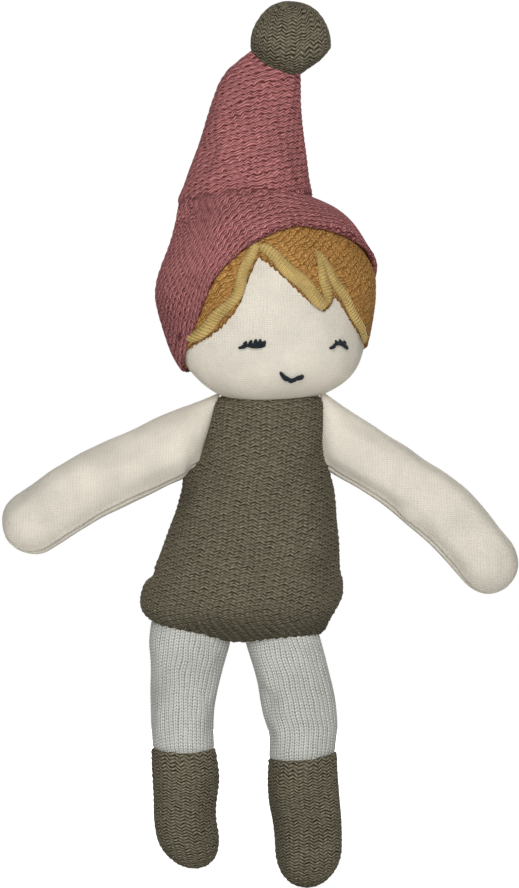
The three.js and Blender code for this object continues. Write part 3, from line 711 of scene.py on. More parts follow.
# Each satin bar's line on the face and its width along the line, as shares of the full width
SATIN_BARS = (
    (((-10.9, 15.6), (-13.1, 11.7), (-14.8, 8.0), (-15.9, 4.4), (-17.2, 1.1), (-19.0, -1.7), (-21.4, -4.5),
      (-23.5, -7.3), (-25.2, -9.5), (-26.4, -11.0)),
     (0.6, 0.7, 0.72, 0.72, 0.72, 0.75, 0.8, 0.8, 0.75, 0.6)),
    (((-10.1, 14.8), (-7.3, 12.1), (-3.3, 8.1), (0.3, 4.4), (4.2, 0.8), (7.1, -2.0)),
     (0.7, 0.95, 1.1, 1.15, 1.1, 0.8)),
    (((5.1, 14.0), (5.8, 10.4), (6.5, 6.7), (7.4, 3.0), (7.6, -1.0)), (0.12, 0.5, 0.8, 0.9, 0.6)),
    (((5.6, 13.4), (8.1, 8.9), (11.2, 3.5), (14.8, -1.3), (18.6, -6.0), (22.5, -11.1)),
     (0.25, 0.65, 0.8, 0.8, 0.75, 0.6)),
)


class OBJECT_OT_elf_satin(ElfPiece, bpy.types.Operator):
    """Sews the gold satin bars along the fringe"""
    bl_idname = "object.elf_satin"
    bl_label = "Satin bars"

    def execute(self, context):
        # Rayon satin stitch: silky threads laid side by side, with painted highlights on their crowns
        finish = self.thread("gold rayon thread", "gold", pitch=0.4, valley=0.6, rough=0.5)
        turn = circle(24)
        share = np.linspace(0, 1, 300)
        for number, (line, widths) in enumerate(SATIN_BARS):
            # A flat oval carried along the line, with bundles of thread across it
            path = through(line, share)
            wide = through([[w] for w in widths], share)[:, 0] * self.size("satin_width") / 2
            travel = lengths(path[None], 1)[0]
            aim = unit(np.gradient(path, axis=0))
            side = np.stack([-aim[:, 1], aim[:, 0]], -1)
            lay = travel[:, None] + 0.18 * np.cos(turn) + 0.12 * np.sin(travel * 1.3)[:, None]
            bundle = lay / 0.8 + 0.3 * number
            ridge = np.abs(np.sin(math.pi * bundle)) ** 0.7
            # A sine of each bundle's number makes it a little longer or shorter at either side
            uneven = np.sin(np.floor(bundle) * 12.9898) * np.sign(np.cos(turn) + 1e-9)
            ends = rounding(np.minimum(travel, travel[-1] - travel), 1.4)[:, None]
            reach = wide[:, None] * (1 + 0.15 * uneven) * lerp(0.45, 1, ends) * np.cos(turn)
            flat = path[:, None] + side[:, None] * reach[..., None]
            crown = np.where(np.sin(turn) > 0, 0.8, 0.5) * np.sin(turn) * ends
            lift = 0.9 + crown * np.minimum(1, wide[:, None] / 1.3) + 0.3 * (ridge - 0.5) * ends
            grid = on_face(flat[..., 0], flat[..., 1], lift)[:, ::-1]
            laid = np.stack([closed(reach[:, ::-1]), closed(lay[:, ::-1])], -1)
            # Painted light on each bar's upper side and painted shade below it, each bundle's tone a little
            # lighter or darker
            shade = 0.72 + 0.28 * np.clip(np.sin(turn), 0, 1) ** 0.5 + 0.1 * uneven
            made = tube(f"satin_bar_{number + 1}", grid, finish, ridge[:, ::-1], shade[:, ::-1], laid)
            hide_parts("fringe_satin")
            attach(made, "head")
        return {"FINISHED"}


class OBJECT_OT_elf_face(ElfPiece, bpy.types.Operator):
    """Embroiders the closed eyes and the smile in dark stitches"""
    bl_idname = "object.elf_face"
    bl_label = "Eyes and mouth"

    def stitches(self, name, ends, thick):
        """Straight stitches on the face: each is a round thread between two places, thinner at its
        ends, bulging off the face in the middle and dipping into it at both ends."""
        share = np.linspace(0, 1, 9)[:, None, None]
        turn = circle(8)[:, None]
        x0, z0, x1, z1 = np.asarray(ends, float).T
        aim = unit(np.stack([x1 - x0, z1 - z0], -1))
        girth = thick * (0.4 + 0.6 * np.sin(math.pi * share) ** 0.5)
        x = lerp(x0, x1, share) - aim[:, 1] * girth * np.cos(turn)
        z = lerp(z0, z1, share) + aim[:, 0] * girth * np.cos(turn)
        lift = 0.12 + 0.4 * np.sin(math.pi * share) + girth * np.sin(turn) + 0 * x0
        points = on_face(x, z, lift)
        numbers = np.arange(points[..., 0].size).reshape(points.shape[:3])
        ahead = np.roll(numbers, -1, 1)
        sides = np.stack([numbers[1:], ahead[1:], ahead[:-1], numbers[:-1]], -1).reshape(-1, 4)
        first, last = numbers[0].T, numbers[-1].T[:, ::-1]
        # Cotton embroidery thread: near black, with a faint gloss
        finish = self.thread("dark embroidery cotton", "ink", pitch=0.3, valley=0.6, rough=0.6)
        laid = np.stack([np.zeros(numbers.shape), numbers * 0.02], -1).reshape(-1, 2)
        faces = [sides, first, last]
        spots = np.concatenate([laid[f].reshape(-1, 2) for f in faces])
        made = put(name, points.reshape(-1, 3), faces, finish, laid=spots)
        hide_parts(name.removesuffix("_sewn"))
        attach(made, "head")

    def execute(self, context):
        self.stitches("eye_left_sewn", (
            (-16.2, -13.2, -13.6, -12.4), (-15.4, -12.6, -12.2, -12.1), (-14.0, -12.7, -9.6, -12.8),
            (-14.2, -12.2, -9.7, -12.2), (-12.6, -11.8, -9.7, -11.7), (-14.9, -12.4, -14.4, -11.4),
            (-13.6, -12.2, -13.1, -11.1), (-12.2, -12.2, -12.0, -10.8), (-11.0, -12.4, -10.9, -10.8),
            (-9.8, -13.0, -9.7, -11.2),
        ), 0.46)
        self.stitches("eye_right_sewn", (
            (9.6, -13.3, 11.6, -12.0), (10.9, -12.2, 13.4, -11.3), (12.4, -11.4, 14.9, -11.8),
            (12.6, -11.9, 15.3, -12.4), (14.3, -11.8, 16.1, -13.4), (13.9, -12.2, 15.5, -13.0),
            (11.6, -11.8, 11.4, -11.0), (12.9, -11.6, 12.9, -10.7), (14.3, -11.8, 14.6, -11.0),
        ), 0.45)
        self.stitches("mouth_sewn", (
            (-4.2, -19.9, -2.0, -21.4), (-3.6, -20.6, -1.2, -22.1), (-2.4, -21.1, -0.1, -22.2),
            (-1.4, -22.0, 0.6, -22.1), (-0.5, -22.2, 1.5, -21.2), (0.7, -21.8, 2.7, -20.7),
            (1.3, -21.2, 3.2, -21.0),
        ), 0.5)
        return {"FINISHED"}


# Points of the brim's edge from the head's centre, in the face's own frame
BRIM = (
    (29.8, -9.3, 13.6), (26.2, -11.0, 15.2), (22.8, -13.1, 16.4), (18.4, -15.9, 18.7), (14.4, -17.7, 20.2),
    (10.5, -19.3, 20.9), (5.9, -20.5, 21.2), (1.7, -20.7, 21.7), (-3.4, -21.0, 21.1), (-6.8, -21.4, 19.6),
    (-11.6, -21.0, 17.7), (-14.9, -20.9, 14.9), (-17.9, -20.3, 12.4), (-20.8, -19.2, 9.5),
    (-23.2, -17.8, 6.8), (-24.6, -17.0, 3.3), (-25.5, -16.1, -0.6), (-26.2, -14.8, -4.4),
    (-27.3, -12.0, -9.1), (-27.9, -9.0, -12.2), (-28.0, -5.3, -15.4), (-27.2, -1.5, -18.2),
    (-25.5, 4.0, -19.8), (-21.0, 11.5, -19.3), (-12.0, 18.5, -18.0), (2.0, 22.0, -16.5),
    (14.0, 19.5, -15.0), (22.5, 14.5, -11.0), (27.5, 7.5, -3.0), (30.0, -1.0, 7.0),
)
# The two outlines of the hat's point, as places across and up
CONE_LEFT = ((-23.4, 192.0), (-20.5, 200.5), (-17.0, 209.5), (-13.6, 221.0), (-9.3, 230.1), (-1.7, 236.9))
CONE_RIGHT = ((15.6, 194.9), (14.1, 202.6), (12.6, 211.0), (11.8, 219.5), (11.6, 225.0), (11.6, 228.9))
# The middle, half sizes and height of the crease under the point, and how far its front is raised
CREASE = np.array([-4.1, FRONT_Y])
CREASE_HALF = (19.3, 15.5)
CREASE_HEIGHT = 193.6
CREASE_RAISE = 2.2
# The way up through the hood, its thickness and its mean radius
HAT_AXIS = unit(np.array([-6.5, 0, 26.5]))
HOOD_THICK = 2.8
HOOD_RADIUS = 30
# Lengths of the hat's cloth round it, up the hood and up the point
HAT_GIRTH = 165
HOOD_LENGTH = 52
POINT_LENGTH = 46


class OBJECT_OT_elf_hat(ElfPiece, bpy.types.Operator):
    """Knits the hat: rolled brim, hood, crease and leaning point in one piece"""
    bl_idname = "object.elf_hat"
    bl_label = "Hat"

    def hood(self, around, raised, step):
        """Rows of points from inside the brim, round its roll and up to the crease, with how many of them
        are the brim's: angles from the hat's axis over a grown layer of the head."""
        crease = np.stack([CREASE[0] + CREASE_HALF[0] * np.cos(around),
                           CREASE[1] + CREASE_HALF[1] * np.sin(around),
                           CREASE_HEIGHT + 1.45 * np.cos(around) + CREASE_RAISE * raised], -1) - HEAD
        right = np.array([HAT_AXIS[2], 0, -HAT_AXIS[0]])
        back = np.array([0, 1.0, 0])
        way = unit(crease)
        turn = np.unwrap(np.arctan2(way @ back, way @ right))
        top = np.arccos(way @ HAT_AXIS)
        edge = unit(head_turned(np.array(BRIM)))
        edge_turn = np.arctan2(edge @ back, edge @ right)
        order = np.argsort(edge_turn)
        edge_fall = np.arccos(edge @ HAT_AXIS)
        low = np.interp(turn, edge_turn[order], edge_fall[order], period=TURN)
        soften = np.hanning(31) / np.hanning(31).sum()
        low = np.convolve(np.concatenate([low[-15:], low, low[:15]]), soften, "valid")
        spread = swung(right, back, turn)

        def skin(fall, grow):
            """Directions at angles from the hat's axis and the reach of a layer over the head, which is
            thinner low down."""
            ways = swung(HAT_AXIS, spread, fall)
            thick = lerp(0.52, 1, smooth((ways[..., 2] * HOOD_RADIUS + 13) / 17))
            return ways, head_reach(head_turned(ways, -HEAD_TURN), grow * thick)

        lift = np.linalg.norm(crease, axis=-1) - skin(top, HOOD_THICK)[1]
        roll = np.linspace(-1.9, math.pi / 2, 12)[:, None]
        arc = np.arange(len(around)) * HAT_GIRTH / len(around)
        scallop = 0.22 * np.abs(np.sin(arc * math.pi / 2.35)) + 0.12 * np.sin(arc * 0.7)
        brim = np.concatenate([[low - 0.16], [low - 0.06],
                               low + (0.7 * np.cos(roll) + scallop - 0.3) / HOOD_RADIUS])
        share = np.linspace(0, 1, int(HOOD_LENGTH / step))[1:, None]
        fall = np.concatenate([brim, lerp(low, top, share)])
        rise = share * (low - top) * HOOD_RADIUS
        grow = np.concatenate([np.full((2, len(around)), 1.1), 2.1 + 0.8 * np.sin(roll) + 0 * low,
                               HOOD_THICK + 0.2 * np.exp(-rise / 1.5)])
        ways, reach = skin(fall, grow)
        reach = reach + lift * np.exp(-np.clip(fall - top, 0, None) / 0.131)
        return HEAD + ways * reach[..., None], len(brim)

    def point(self, around, raised, step):
        """Rows of points from the crease to the tip: ovals between the two outlines, stuffed, and closed
        under the pom-pom."""
        share = np.linspace(0, 1, int(POINT_LENGTH / step))[1:, None]
        left = through(CONE_LEFT, share[:, 0])[:, None]
        right = through(CONE_RIGHT, share[:, 0])[:, None]
        middle, half = (left + right) / 2, (right - left) / 2
        deep = 0.8 * np.linalg.norm(half, axis=-1)
        flat = middle + half * np.cos(around)[None, :, None]
        fold = CREASE_RAISE * raised * (1 - smooth(share / 0.3))
        cone = np.stack([flat[..., 0], CREASE[1] + deep * np.sin(around), flat[..., 1] + fold], -1)
        cone = stuffed(cone, around, most=0.6)
        shut = np.linspace(0, 1, 9)[1:, None, None]
        crown = cone[-1].mean(0) + np.array([2.0, 0, 3.2])
        return np.concatenate([cone, lerp(cone[-1], crown, shut * 0.98)])

    def execute(self, context):
        step = 1.16 * self.size("grid")
        around = turns(int(HAT_GIRTH / step), 0.8)
        raised = np.clip(-np.sin(around), 0, 1)
        hood, brim_rows = self.hood(around, raised, step)
        grid = np.concatenate([hood, self.point(around, raised, step)])
        # Pulled in at the crease, most at the left, with gathers below it and a seam up the point
        t = lengths(grid, 0)
        s = from_front(closed(grid))
        up = t - t[len(hood) - 1]
        strong = 0.2 + 0.8 * smooth(0.5 - 0.75 * np.cos(around) - 0.25 * np.sin(around))
        gathers = smooth((np.cos(around + math.pi * 0.93) - 0.55) / 0.35) * bump(up + 5, 5)
        seam = s[:, :-1] - 11.5 * np.clip(1 - up / 70, 0.4, 1)
        strands = np.cos(s[:, :-1] * TURN / 1.5 + 1.4 * drift(grid, 3, 30))
        pull = strong * (0.25 * bump(up - 2.6, 2.0) - 0.6 * bump(up, 1.3) - 0.25 * bump(up + 3, 2.5))
        pull = pull + 0.25 * gathers * strands
        pull = pull - 0.15 * bump(seam, 0.7) * smooth(up / 4) + 0.25 * drift(grid, 22, 36)
        grid = pushed(grid, pull)
        # Rows nearly level on the point, and along the brim on the hood
        whole = closed(grid)
        level = whole[..., 2] - 0.22 * whole[..., 0] + 0.011 * np.minimum(s, 0) ** 2
        leftward = closed((smooth(0.33 - 1.67 * np.cos(around)) * smooth(0.6 - 1.2 * np.sin(around)))[None])
        along = 0.9 * closed(t - t[brim_rows]) - 0.25 * leftward * (whole[..., 2] - 185)
        t = np.where(closed(up) > 0.7 * drift(whole, 5, 35), level, along)
        s = s + 0.35 * drift(whole, 8, 31) + 0.2 * drift(whole, 3, 32)
        t = t + 0.4 * drift(whole, 20, 33) + 0.15 * drift(whole, 3.4, 34)
        rows = self.rows("rose", s, t)
        rows = lerp(rows, 0.6, closed(0.6 * bump(up + 3.5, 3) * strong))
        # Painted shade in the crease, between gathers, along the seam, inside the brim and low down
        shade = 1 - 0.25 * bump(up, 0.9) * strong + 0.2 * gathers * strands
        shade = shade - 0.1 * bump(seam, 0.5) * smooth(up / 4)
        shade = shade * lerp(0.5, 1, smooth((np.arange(len(grid)) - 5) / 9))[:, None]
        shade = shade * lerp(0.85, 1, smooth((grid[..., 2] - 157) / 18))
        made = knitted("hat", grid, rows, 0.6 * self.size("knit_depth"), self.rose_yarn(), s, t, shade)
        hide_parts("hat_hood", "hat_cone", "hat_cone_fill")
        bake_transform(made)
        return {"FINISHED"}


# The pom-pom's centre, its radius and the way to where its knit is gathered
POM_CENTRE = np.array([9.1, FRONT_Y, 238.6])
POM_RADIUS = 11.25
POM_POLE = unit(np.array([0.05, -0.5, 0.86]))


class OBJECT_OT_elf_pom_pom(ElfPiece, bpy.types.Operator):
    """Gathers the knitted ball at the tip of the hat"""
    bl_idname = "object.elf_pom_pom"
    bl_label = "Pom-pom"

    def execute(self, context):
        # A ball in rings about its pole, flatter at the lower right
        side = unit(np.cross([0, 1.0, 0], POM_POLE))
        depth = np.cross(POM_POLE, side)
        turn = math.pi / 2 + circle(265)
        fall = np.linspace(math.pi - 0.03, 0.03, 134)[:, None]
        ways = swung(POM_POLE, swung(side, depth, turn), fall)
        flat = np.clip(ways @ unit(np.array([0.6, 0, -0.8])) - 0.72, 0, None)
        reach = POM_RADIUS * (1 - 0.75 * flat) + 0.25 * drift(ways * 11, 14, 41)
        grid = stuffed(POM_CENTRE + ways * reach[..., None], turn, most=0.4)
        whole = closed(grid)
        s = from_front(whole) + 0.15 * drift(whole, 4, 42)
        t = 0.8 * lengths(whole, 0) + 0.3 * drift(whole, 9, 43) + 0.08 * drift(whole, 3, 44)
        rows = self.rows("olive", s, t, True)
        # Painted shade in a ring where it meets the hat, and darker at the lower right in front
        near, low_front = (angles(ways, way) for way in ((-0.62, 0, -0.78), (0.45, -0.55, -0.7)))
        shade = 1.05 - 0.35 * bump(near - 0.78, 0.22) - 0.4 * bump(low_front, 0.4)
        made = knitted("pom_pom_dressed", grid, rows, 0.15, self.gathered_yarn(), s, t, shade)
        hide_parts("pom_pom", "pom_pom_fill")
        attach(made, "pom")
        return {"FINISHED"}


def limb(line, seam, along, around, bow, wide, deep, full):
    """A limb's skin: oval sections along an arc in the doll's upright plane, bowed off it a little,
    set across it and slanted to the seam where they aren't full yet. Rows go along the limb."""
    start, heading, bend, reach = line
    rate = math.radians(bend) / reach
    first = math.radians(heading)
    to = first + rate * along
    across = np.stack([np.sin(to), -np.cos(to)], -1)
    x = start[0] + (np.sin(to) - math.sin(first)) / rate
    z = start[1] + (math.cos(first) - np.cos(to)) / rate
    middle = np.stack([x, z], -1) + across * bow[:, None]
    half = lerp(np.asarray(seam, float), across, full[:, None]) * wide[:, None]
    flat = middle[:, None] + half[:, None] * np.cos(around)[None, :, None]
    return np.stack([flat[..., 0], FRONT_Y + deep[:, None] * np.sin(around), flat[..., 1]], -1)


# Each arm's start, heading, bend and reach, its seam, how far it bows and its half width along it
ARMS = {
    "left": (((-15.7, 127.0), 203.0, 8.0, 62.8), (0.27, 0.96),
             ((-3, 1.3), (0, 1.2), (12, 0.7), (41, 1.0), (54, 0.1), (62.8, 0.0)),
             ((-3, 11.4), (0, 11.1), (12, 9.5), (28, 9.5), (62.8, 9.3))),
    "right": (((18.9, 127.0), -29.5, -22.0, 66.2), (-0.01, -1.0),
              ((-3, -1.4), (0, -1.3), (10, -1.1), (22, -1.6), (34, -1.9), (44, -2.1), (57, -1.4),
               (66.2, -1.0)),
              ((-3, 10.9), (0, 10.4), (10, 8.7), (22, 8.6), (34, 9.2), (46, 9.1), (57, 8.7), (66.2, 8.7))),
}
# Where the arms begin inside the seam, their half depth, and how far their ends are rounded
ARM_START = -2.5
ARM_DEEP = 8.25
HAND_ROUND = 9.3


class OBJECT_OT_elf_arms(ElfPiece, bpy.types.Operator):
    """Stuffs the two jersey arms, each with its long seam below"""
    bl_idname = "object.elf_arms"
    bl_label = "Arms"

    def execute(self, context):
        for name, (line, seam, bows, halves) in ARMS.items():
            reach = line[3]
            around = turns(190, 0.9)
            # Ovals along the arm, flat where it begins and rounded at the hand
            along = np.concatenate([np.linspace(ARM_START, reach - HAND_ROUND, 190),
                                    reach - HAND_ROUND * (1 - np.sin(np.linspace(0, 1.545, 48)[1:]))])
            full = smooth((along + 2) / 14)
            tip = rounding(reach - along, HAND_ROUND)
            wide = eased(halves, along) * tip
            deep = ARM_DEEP * tip * lerp(0.35, 1, rounding(along - ARM_START, 13))
            grid = limb(line, seam, along, around, eased(bows, along), wide, deep, full)
            grid = stuffed(grid, around, most=0.3, held=(along < 2)[:, None])
            whole = closed(grid)
            s = from_front(whole)
            # A groove along the lower seam, with a ridge at each side
            below = 1 if name == "right" else -1
            seam_line = s[:, :-1] * below - 10.3 * tip[:, None]
            pull = -0.4 * bump(seam_line, 0.5) + 0.12 * bump(np.abs(seam_line) - 1.0, 0.6)
            pull = pull + 0.18 * drift(grid, 26, 51) + 0.06 * drift(grid, 9, 52)
            grid = pushed(grid, pull)
            # The jersey unrolled from the arm's front line into the upright plane
            front = grid[:, None, len(around) // 2, ::2]
            aim = unit(np.gradient(front, axis=0))
            laid = front + s[..., None] * np.stack([aim[..., 1], -aim[..., 0]], -1)
            laid = laid + 0.15 * drift(whole, 6, 53)[..., None]
            # Painted shade along the seam's groove
            shade = 1 - 0.22 * bump(seam_line, 0.4)
            made = tube(f"{name}_arm_dressed", grid, self.cream_jersey(), 0.5, shade, laid)
            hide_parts(f"{name}_arm", f"{name}_arm_fill")
            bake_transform(made)
        return {"FINISHED"}


# Each leg's start, heading, bend and reach, its boot's top, how far it bows and its half widths along it
LEGS = {
    "left": (((-19.17, TUNIC_FLOOR), -96.0, 12.0, 64.3), 30.8,
             ((-9, 0.2), (7, 0.6), (16, 0.8), (29, 0.5), (39, -0.2), (51, 0.4), (58, -0.5), (64.3, -2)),
             ((-9, 11.6), (0, 11.4), (7, 10.1), (16, 9.2), (31, 8.7)),
             ((30, 9.0), (39, 9.3), (45, 8.8), (64.3, 8.8))),
    "right": (((6.83, TUNIC_FLOOR), -79.0, -12.0, 69.8), 33.1,
              ((-9, 0.5), (0, 0.2), (8.5, -0.7), (19.5, -1.55), (26, -1.9), (31.5, -1.0), (39.5, -0.3),
               (45, -0.3), (51, -0.8), (60, -1.0), (69.8, -0.4)),
              ((-9, 10.4), (0, 10.6), (8.5, 10.1), (19.5, 10.2), (26, 9.6), (36, 9.2)),
              ((32, 9.6), (45, 9.9), (51, 9.6), (60, 9.3), (69.8, 9.3))),
}
# Where the legs begin inside the tunic, the way across their seam and their half depths
LEG_START = -9
LEG_SEAM = (-1, 0)
LEG_DEEP = 8.5
BOOT_DEEP = 8.7
# The girth on which the tights' ribs are laid, and how far the toes are rounded
TIGHTS_GIRTH = 54.6
TOE_ROUND = 11
# Lengths of a boot's cloth round it, down its shaft and round its toe
BOOT_GIRTH = 60
SHAFT_LENGTH = 22
TOE_LENGTH = 17


class OBJECT_OT_elf_legs(ElfPiece, bpy.types.Operator):
    """Stuffs the two legs: ribbed jersey tights with knitted boots sewn on"""
    bl_idname = "object.elf_legs"
    bl_label = "Legs"

    def tights(self, name, line, boot_top, bows, halves):
        """A ribbed leg from inside the tunic to just inside its boot: ovals along the leg, with as many
        ribs at every height."""
        along = np.linspace(LEG_START, boot_top + 2, 150)
        around = turns(220, 0.85)
        tucked = 0.5 * smooth((along - boot_top + 1.5) / 2)
        wide = eased(halves, along) - tucked
        deep = LEG_DEEP * lerp(0.4, 1, rounding(along - LEG_START, 17)) - tucked
        full = smooth((along + 2) / 12)
        grid = limb(line, LEG_SEAM, along, around, eased(bows, along), wide, deep, full)
        sewn = (along < 1) | (along > boot_top - 3)
        grid = stuffed(grid, around, most=0.35, held=sewn[:, None])
        grid = pushed(grid, 0.15 * drift(grid, 22, 61))
        whole = closed(grid)
        s = from_front(whole)
        s = s * (TIGHTS_GIRTH / (s[:, -1:] - s[:, :1])) + 0.12 * drift(whole, 5, 62)
        t = lengths(whole, 0) + 0.1 * drift(whole, 4, 63)
        rows = 1 - bump((s / self.size("tights_wale") + 0.5) % 1 - 0.5, 0.2)
        # Painted shade in the grooves between the ribs
        shade = 0.87 + 0.17 * rows[:, :-1]
        made = knitted(f"{name}_tights_dressed", grid, rows, 0.11, self.grey_jersey(), s, t, shade)
        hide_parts(f"{name}_tights", f"{name}_leg_fill")
        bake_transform(made)

    def boot(self, name, line, boot_top, bows, halves):
        """A knitted boot: a rolled edge that dips in front, a straight shaft and a rounded toe."""
        step = self.size("grid")
        reach = line[3]
        around = turns(int(BOOT_GIRTH / step), 0.9)
        roll = np.linspace(-1.9, math.pi / 2, 9)
        toe = reach - TOE_ROUND * (1 - np.sin(np.linspace(0, 1.54, int(TOE_LENGTH / step))[1:]))
        shaft = np.linspace(boot_top, reach - TOE_ROUND, int(SHAFT_LENGTH / step))[1:]
        along = np.concatenate([boot_top - 0.6 * np.cos(roll), shaft, toe])
        proud = np.concatenate([-0.5 + 0.6 * np.sin(roll), np.full(len(along) - len(roll), 0.1)])
        tip = rounding(reach - along, TOE_ROUND)
        wide = (eased(halves, along) + proud) * tip
        deep = (BOOT_DEEP + proud) * tip
        grid = limb(line, LEG_SEAM, along, around, eased(bows, along), wide, deep, np.ones_like(along))
        grid = stuffed(grid, around, most=0.5, held=(along < boot_top + 3)[:, None])
        dip = np.clip(-np.sin(around), 0, 1) ** 2 * (1 - smooth((along - boot_top) / 7))[:, None]
        grid = grid - np.array([0, 0, 1.0]) * dip[..., None]
        whole = closed(grid)
        s = from_front(whole) + 0.15 * drift(whole, 8, 64) + 0.06 * drift(whole, 3, 65)
        t = -0.1 * s - 0.94 * lengths(whole, 0) + 0.3 * drift(whole, 16, 66) + 0.06 * drift(whole, 4, 67)
        rows = self.rows("olive", s, t, True)
        # Painted shade down both sides, most on the side towards -x
        shade = 1.04 - 0.26 * smooth((np.cos(around) - 0.45) / 0.5)
        shade = shade - 0.1 * smooth((-np.cos(around) - 0.7) / 0.3)
        depth = self.size("knit_depth")
        made = knitted(f"{name}_boot_dressed", grid, rows, depth, self.gathered_yarn(), s, t, shade)
        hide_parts(f"{name}_boot")
        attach(made, f"{name}_leg")

    def execute(self, context):
        for name, (line, boot_top, bows, halves, boot_halves) in LEGS.items():
            self.tights(name, line, boot_top, bows, halves)
            self.boot(name, line, boot_top, bows, boot_halves)
        return {"FINISHED"}


# The neck's half sizes and height where it is whipped, the stitches round it and the thread's radius
NECK_HALF = (13.2, 4.6)
NECK_HEIGHT = 136.2
NECK_STITCHES = 34
THREAD_RADIUS = 0.4


class OBJECT_OT_elf_neck_thread(ElfPiece, bpy.types.Operator):
    """Whips the neck closed with rust-brown thread"""
    bl_idname = "object.elf_neck_thread"
    bl_label = "Neck thread"

    def execute(self, context):
        # A round thread along a coil that goes round the neck's oval
        travel = circle(1400)
        turn = travel * NECK_STITCHES
        path = np.stack([HEAD[0] + (NECK_HALF[0] + 0.8 * np.cos(turn)) * np.cos(travel),
                         FRONT_Y + (NECK_HALF[1] + 0.8 * np.cos(turn)) * np.sin(travel),
                         NECK_HEIGHT + 1.3 * np.sin(turn)], -1)
        aim = unit(np.roll(path, -1, 0) - np.roll(path, 1, 0))
        side = unit(np.cross(aim, [0, 0, 1.0]))
        other = np.cross(aim, side)
        grid = path[:, None] + THREAD_RADIUS * swung(side[:, None], other[:, None], circle(6))
        # Polyester sewing thread: thin, rust brown, with a faint gloss
        finish = self.thread("rust sewing thread", "rust", pitch=0.3, valley=0.7, rough=0.6)
        laid = np.stack(np.broadcast_arrays(np.linspace(0, 1.2, 7), travel[:, None] * 30), -1)
        made = tube("neck_thread", grid, finish, 0.7, 1.0, laid)
        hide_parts("neck_stitch")
        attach(made, "neck")
        return {"FINISHED"}


# The lamps' places and widths in metres, their power, and the point that they are aimed at
LAMPS = {
    "key": ((-0.05, -1.4, 0.8), 0.5, 10.8),
    "fill": ((0.05, -1.4, 0.05), 0.8, 10.2),
    "back": ((0.1, 1.3, 0.6), 0.9, 15.0),
}
LAMP_AIM = np.array([0, 0, 0.12])
# The floor's radius in millimetres, the camera's distance in metres and its sensor in millimetres
FLOOR_RADIUS = 900
CAMERA_AWAY = 1.6
CAMERA_SENSOR = 36


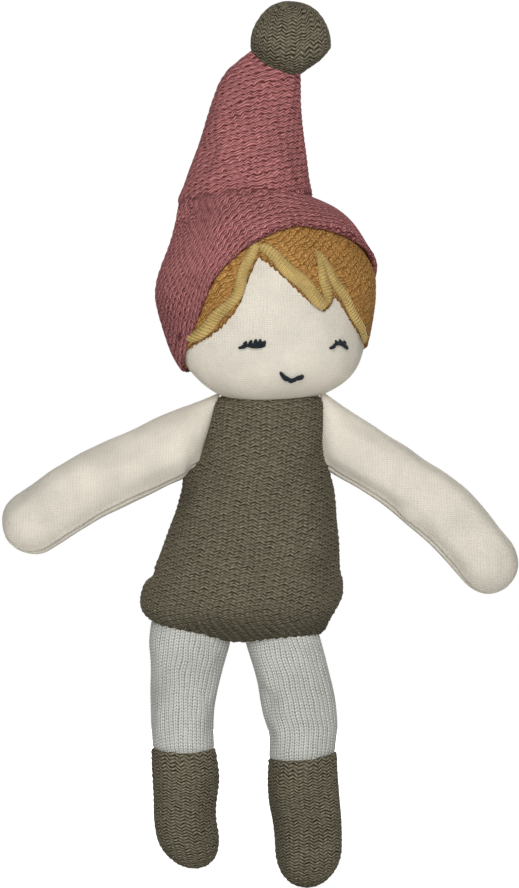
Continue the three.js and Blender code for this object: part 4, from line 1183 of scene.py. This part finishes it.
class OBJECT_OT_elf_studio(ElfPiece, bpy.types.Operator):
    """Sets the pale floor, the soft lamps, the white background and the camera"""
    bl_idname = "object.elf_studio"
    bl_label = "Studio"

    def execute(self, context):
        scene = context.scene
        scene.view_settings.view_transform = "Standard"
        turn = circle(64)
        edge = np.stack([FLOOR_RADIUS * np.cos(turn), FLOOR_RADIUS * np.sin(turn), 0 * turn - 0.6], -1)
        # Matt studio paper: plain, and lifted to white for the camera so that only shadows show
        paper = bpy.data.materials.new("white studio paper")
        paper.use_nodes = True
        tree = paper.node_tree
        shader = tree.nodes["Principled BSDF"]
        for key, value in (("Base Color", (*linear("#E9E9E7"), 1)), ("Roughness", 0.95),
                           ("Emission Color", (1, 1, 1, 1))):
            shader.inputs[key].default_value = value
        seen = node(tree, "ShaderNodeLightPath").outputs
        place = node(tree, "ShaderNodeTexCoord").outputs["Object"]
        far = node(tree, "ShaderNodeVectorMath", (place,), operation="LENGTH").outputs["Value"]
        lifted = node(tree, "ShaderNodeMapRange", (far, 0.2, 0.7, 0.48, 1.0)).outputs[0]
        glow = node(tree, "ShaderNodeMath", (seen["Is Camera Ray"], lifted), operation="MULTIPLY")
        tree.links.new(glow.outputs[0], shader.inputs["Emission Strength"])
        floor = put("floor", edge, [np.arange(64)[None]], paper)
        world = bpy.data.worlds.new("studio")
        scene.world = world
        world.use_nodes = True
        tree = world.node_tree
        seen = node(tree, "ShaderNodeLightPath").outputs
        either = seen["Is Camera Ray"]
        for ray in ("Is Glossy Ray", "Is Transmission Ray"):
            either = node(tree, "ShaderNodeMath", (either, seen[ray]), operation="MAXIMUM").outputs[0]
        soft = node(tree, "ShaderNodeBackground", ((1, 1, 1, 1), 0.22))
        white = node(tree, "ShaderNodeBackground", ((1, 1, 1, 1), 1.0))
        mixed = node(tree, "ShaderNodeMixShader", (either, soft.outputs[0], white.outputs[0]))
        tree.links.new(mixed.outputs[0], tree.nodes["World Output"].inputs["Surface"])
        for name, (place, across, power) in LAMPS.items():
            data = bpy.data.lights.new(name, "AREA")
            data.shape = "DISK"
            data.size = across
            data.energy = power
            lamp = bpy.data.objects.new(name, data)
            lamp.location = place
            aim = LAMP_AIM - np.array(place)
            pitch = math.atan2(math.hypot(aim[0], aim[1]), -aim[2])
            lamp.rotation_euler = (pitch, 0, math.atan2(-aim[0], aim[1]))
            scene.collection.objects.link(lamp)
        tall = PHOTO_HEIGHT * PIXEL * MM
        data = bpy.data.cameras.new("camera")
        data.sensor_width = CAMERA_SENSOR
        data.lens = CAMERA_SENSOR * CAMERA_AWAY / tall
        data.clip_end = 20
        camera = bpy.data.objects.new("camera", data)
        camera.location = (0.5 * PIXEL * MM, -CAMERA_AWAY, tall / 2 - 0.2 * MM)
        camera.rotation_euler = (math.pi / 2, 0, 0)
        scene.collection.objects.link(camera)
        scene.camera = camera
        return {"FINISHED"}


class VIEW3D_PT_elf(bpy.types.Panel):
    """Lists the doll's pieces, sizes and colours in the sidebar"""
    bl_label = "Plush elf"
    bl_idname = "VIEW3D_PT_elf"
    bl_space_type = "VIEW_3D"
    bl_region_type = "UI"
    bl_category = "Plush elf"

    def draw(self, context):
        for operator in OPERATORS:
            self.layout.operator(operator.bl_idname)
        for group in (context.scene.elf_sizes, context.scene.elf_colours):
            for name in group.__annotations__:
                self.layout.prop(group, name)


OPERATORS = (
    OBJECT_OT_elf_tunic, OBJECT_OT_elf_head, OBJECT_OT_elf_hair, OBJECT_OT_elf_satin,
    OBJECT_OT_elf_face, OBJECT_OT_elf_hat, OBJECT_OT_elf_pom_pom, OBJECT_OT_elf_arms,
    OBJECT_OT_elf_legs, OBJECT_OT_elf_neck_thread, OBJECT_OT_elf_studio,
)
CLASSES = (ElfSizes, ElfColours, *OPERATORS, VIEW3D_PT_elf)


def register():
    """Registers the classes and the scene's sizes and colours."""
    for item in CLASSES:
        bpy.utils.register_class(item)
    bpy.types.Scene.elf_sizes = bpy.props.PointerProperty(type=ElfSizes)
    bpy.types.Scene.elf_colours = bpy.props.PointerProperty(type=ElfColours)


def unregister():
    """Takes the classes and the scene's sizes and colours out again."""
    del bpy.types.Scene.elf_colours
    del bpy.types.Scene.elf_sizes
    for item in reversed(CLASSES):
        bpy.utils.unregister_class(item)


def main():
    """Builds every piece in order."""
    register()
    bpy.ops.object.elf_tunic()
    bpy.ops.object.elf_head()
    bpy.ops.object.elf_hair()
    bpy.ops.object.elf_satin()
    bpy.ops.object.elf_face()
    bpy.ops.object.elf_hat()
    bpy.ops.object.elf_pom_pom()
    bpy.ops.object.elf_arms()
    bpy.ops.object.elf_legs()
    bpy.ops.object.elf_neck_thread()
    bpy.ops.object.elf_studio()


if __name__ == "__main__":
    main()
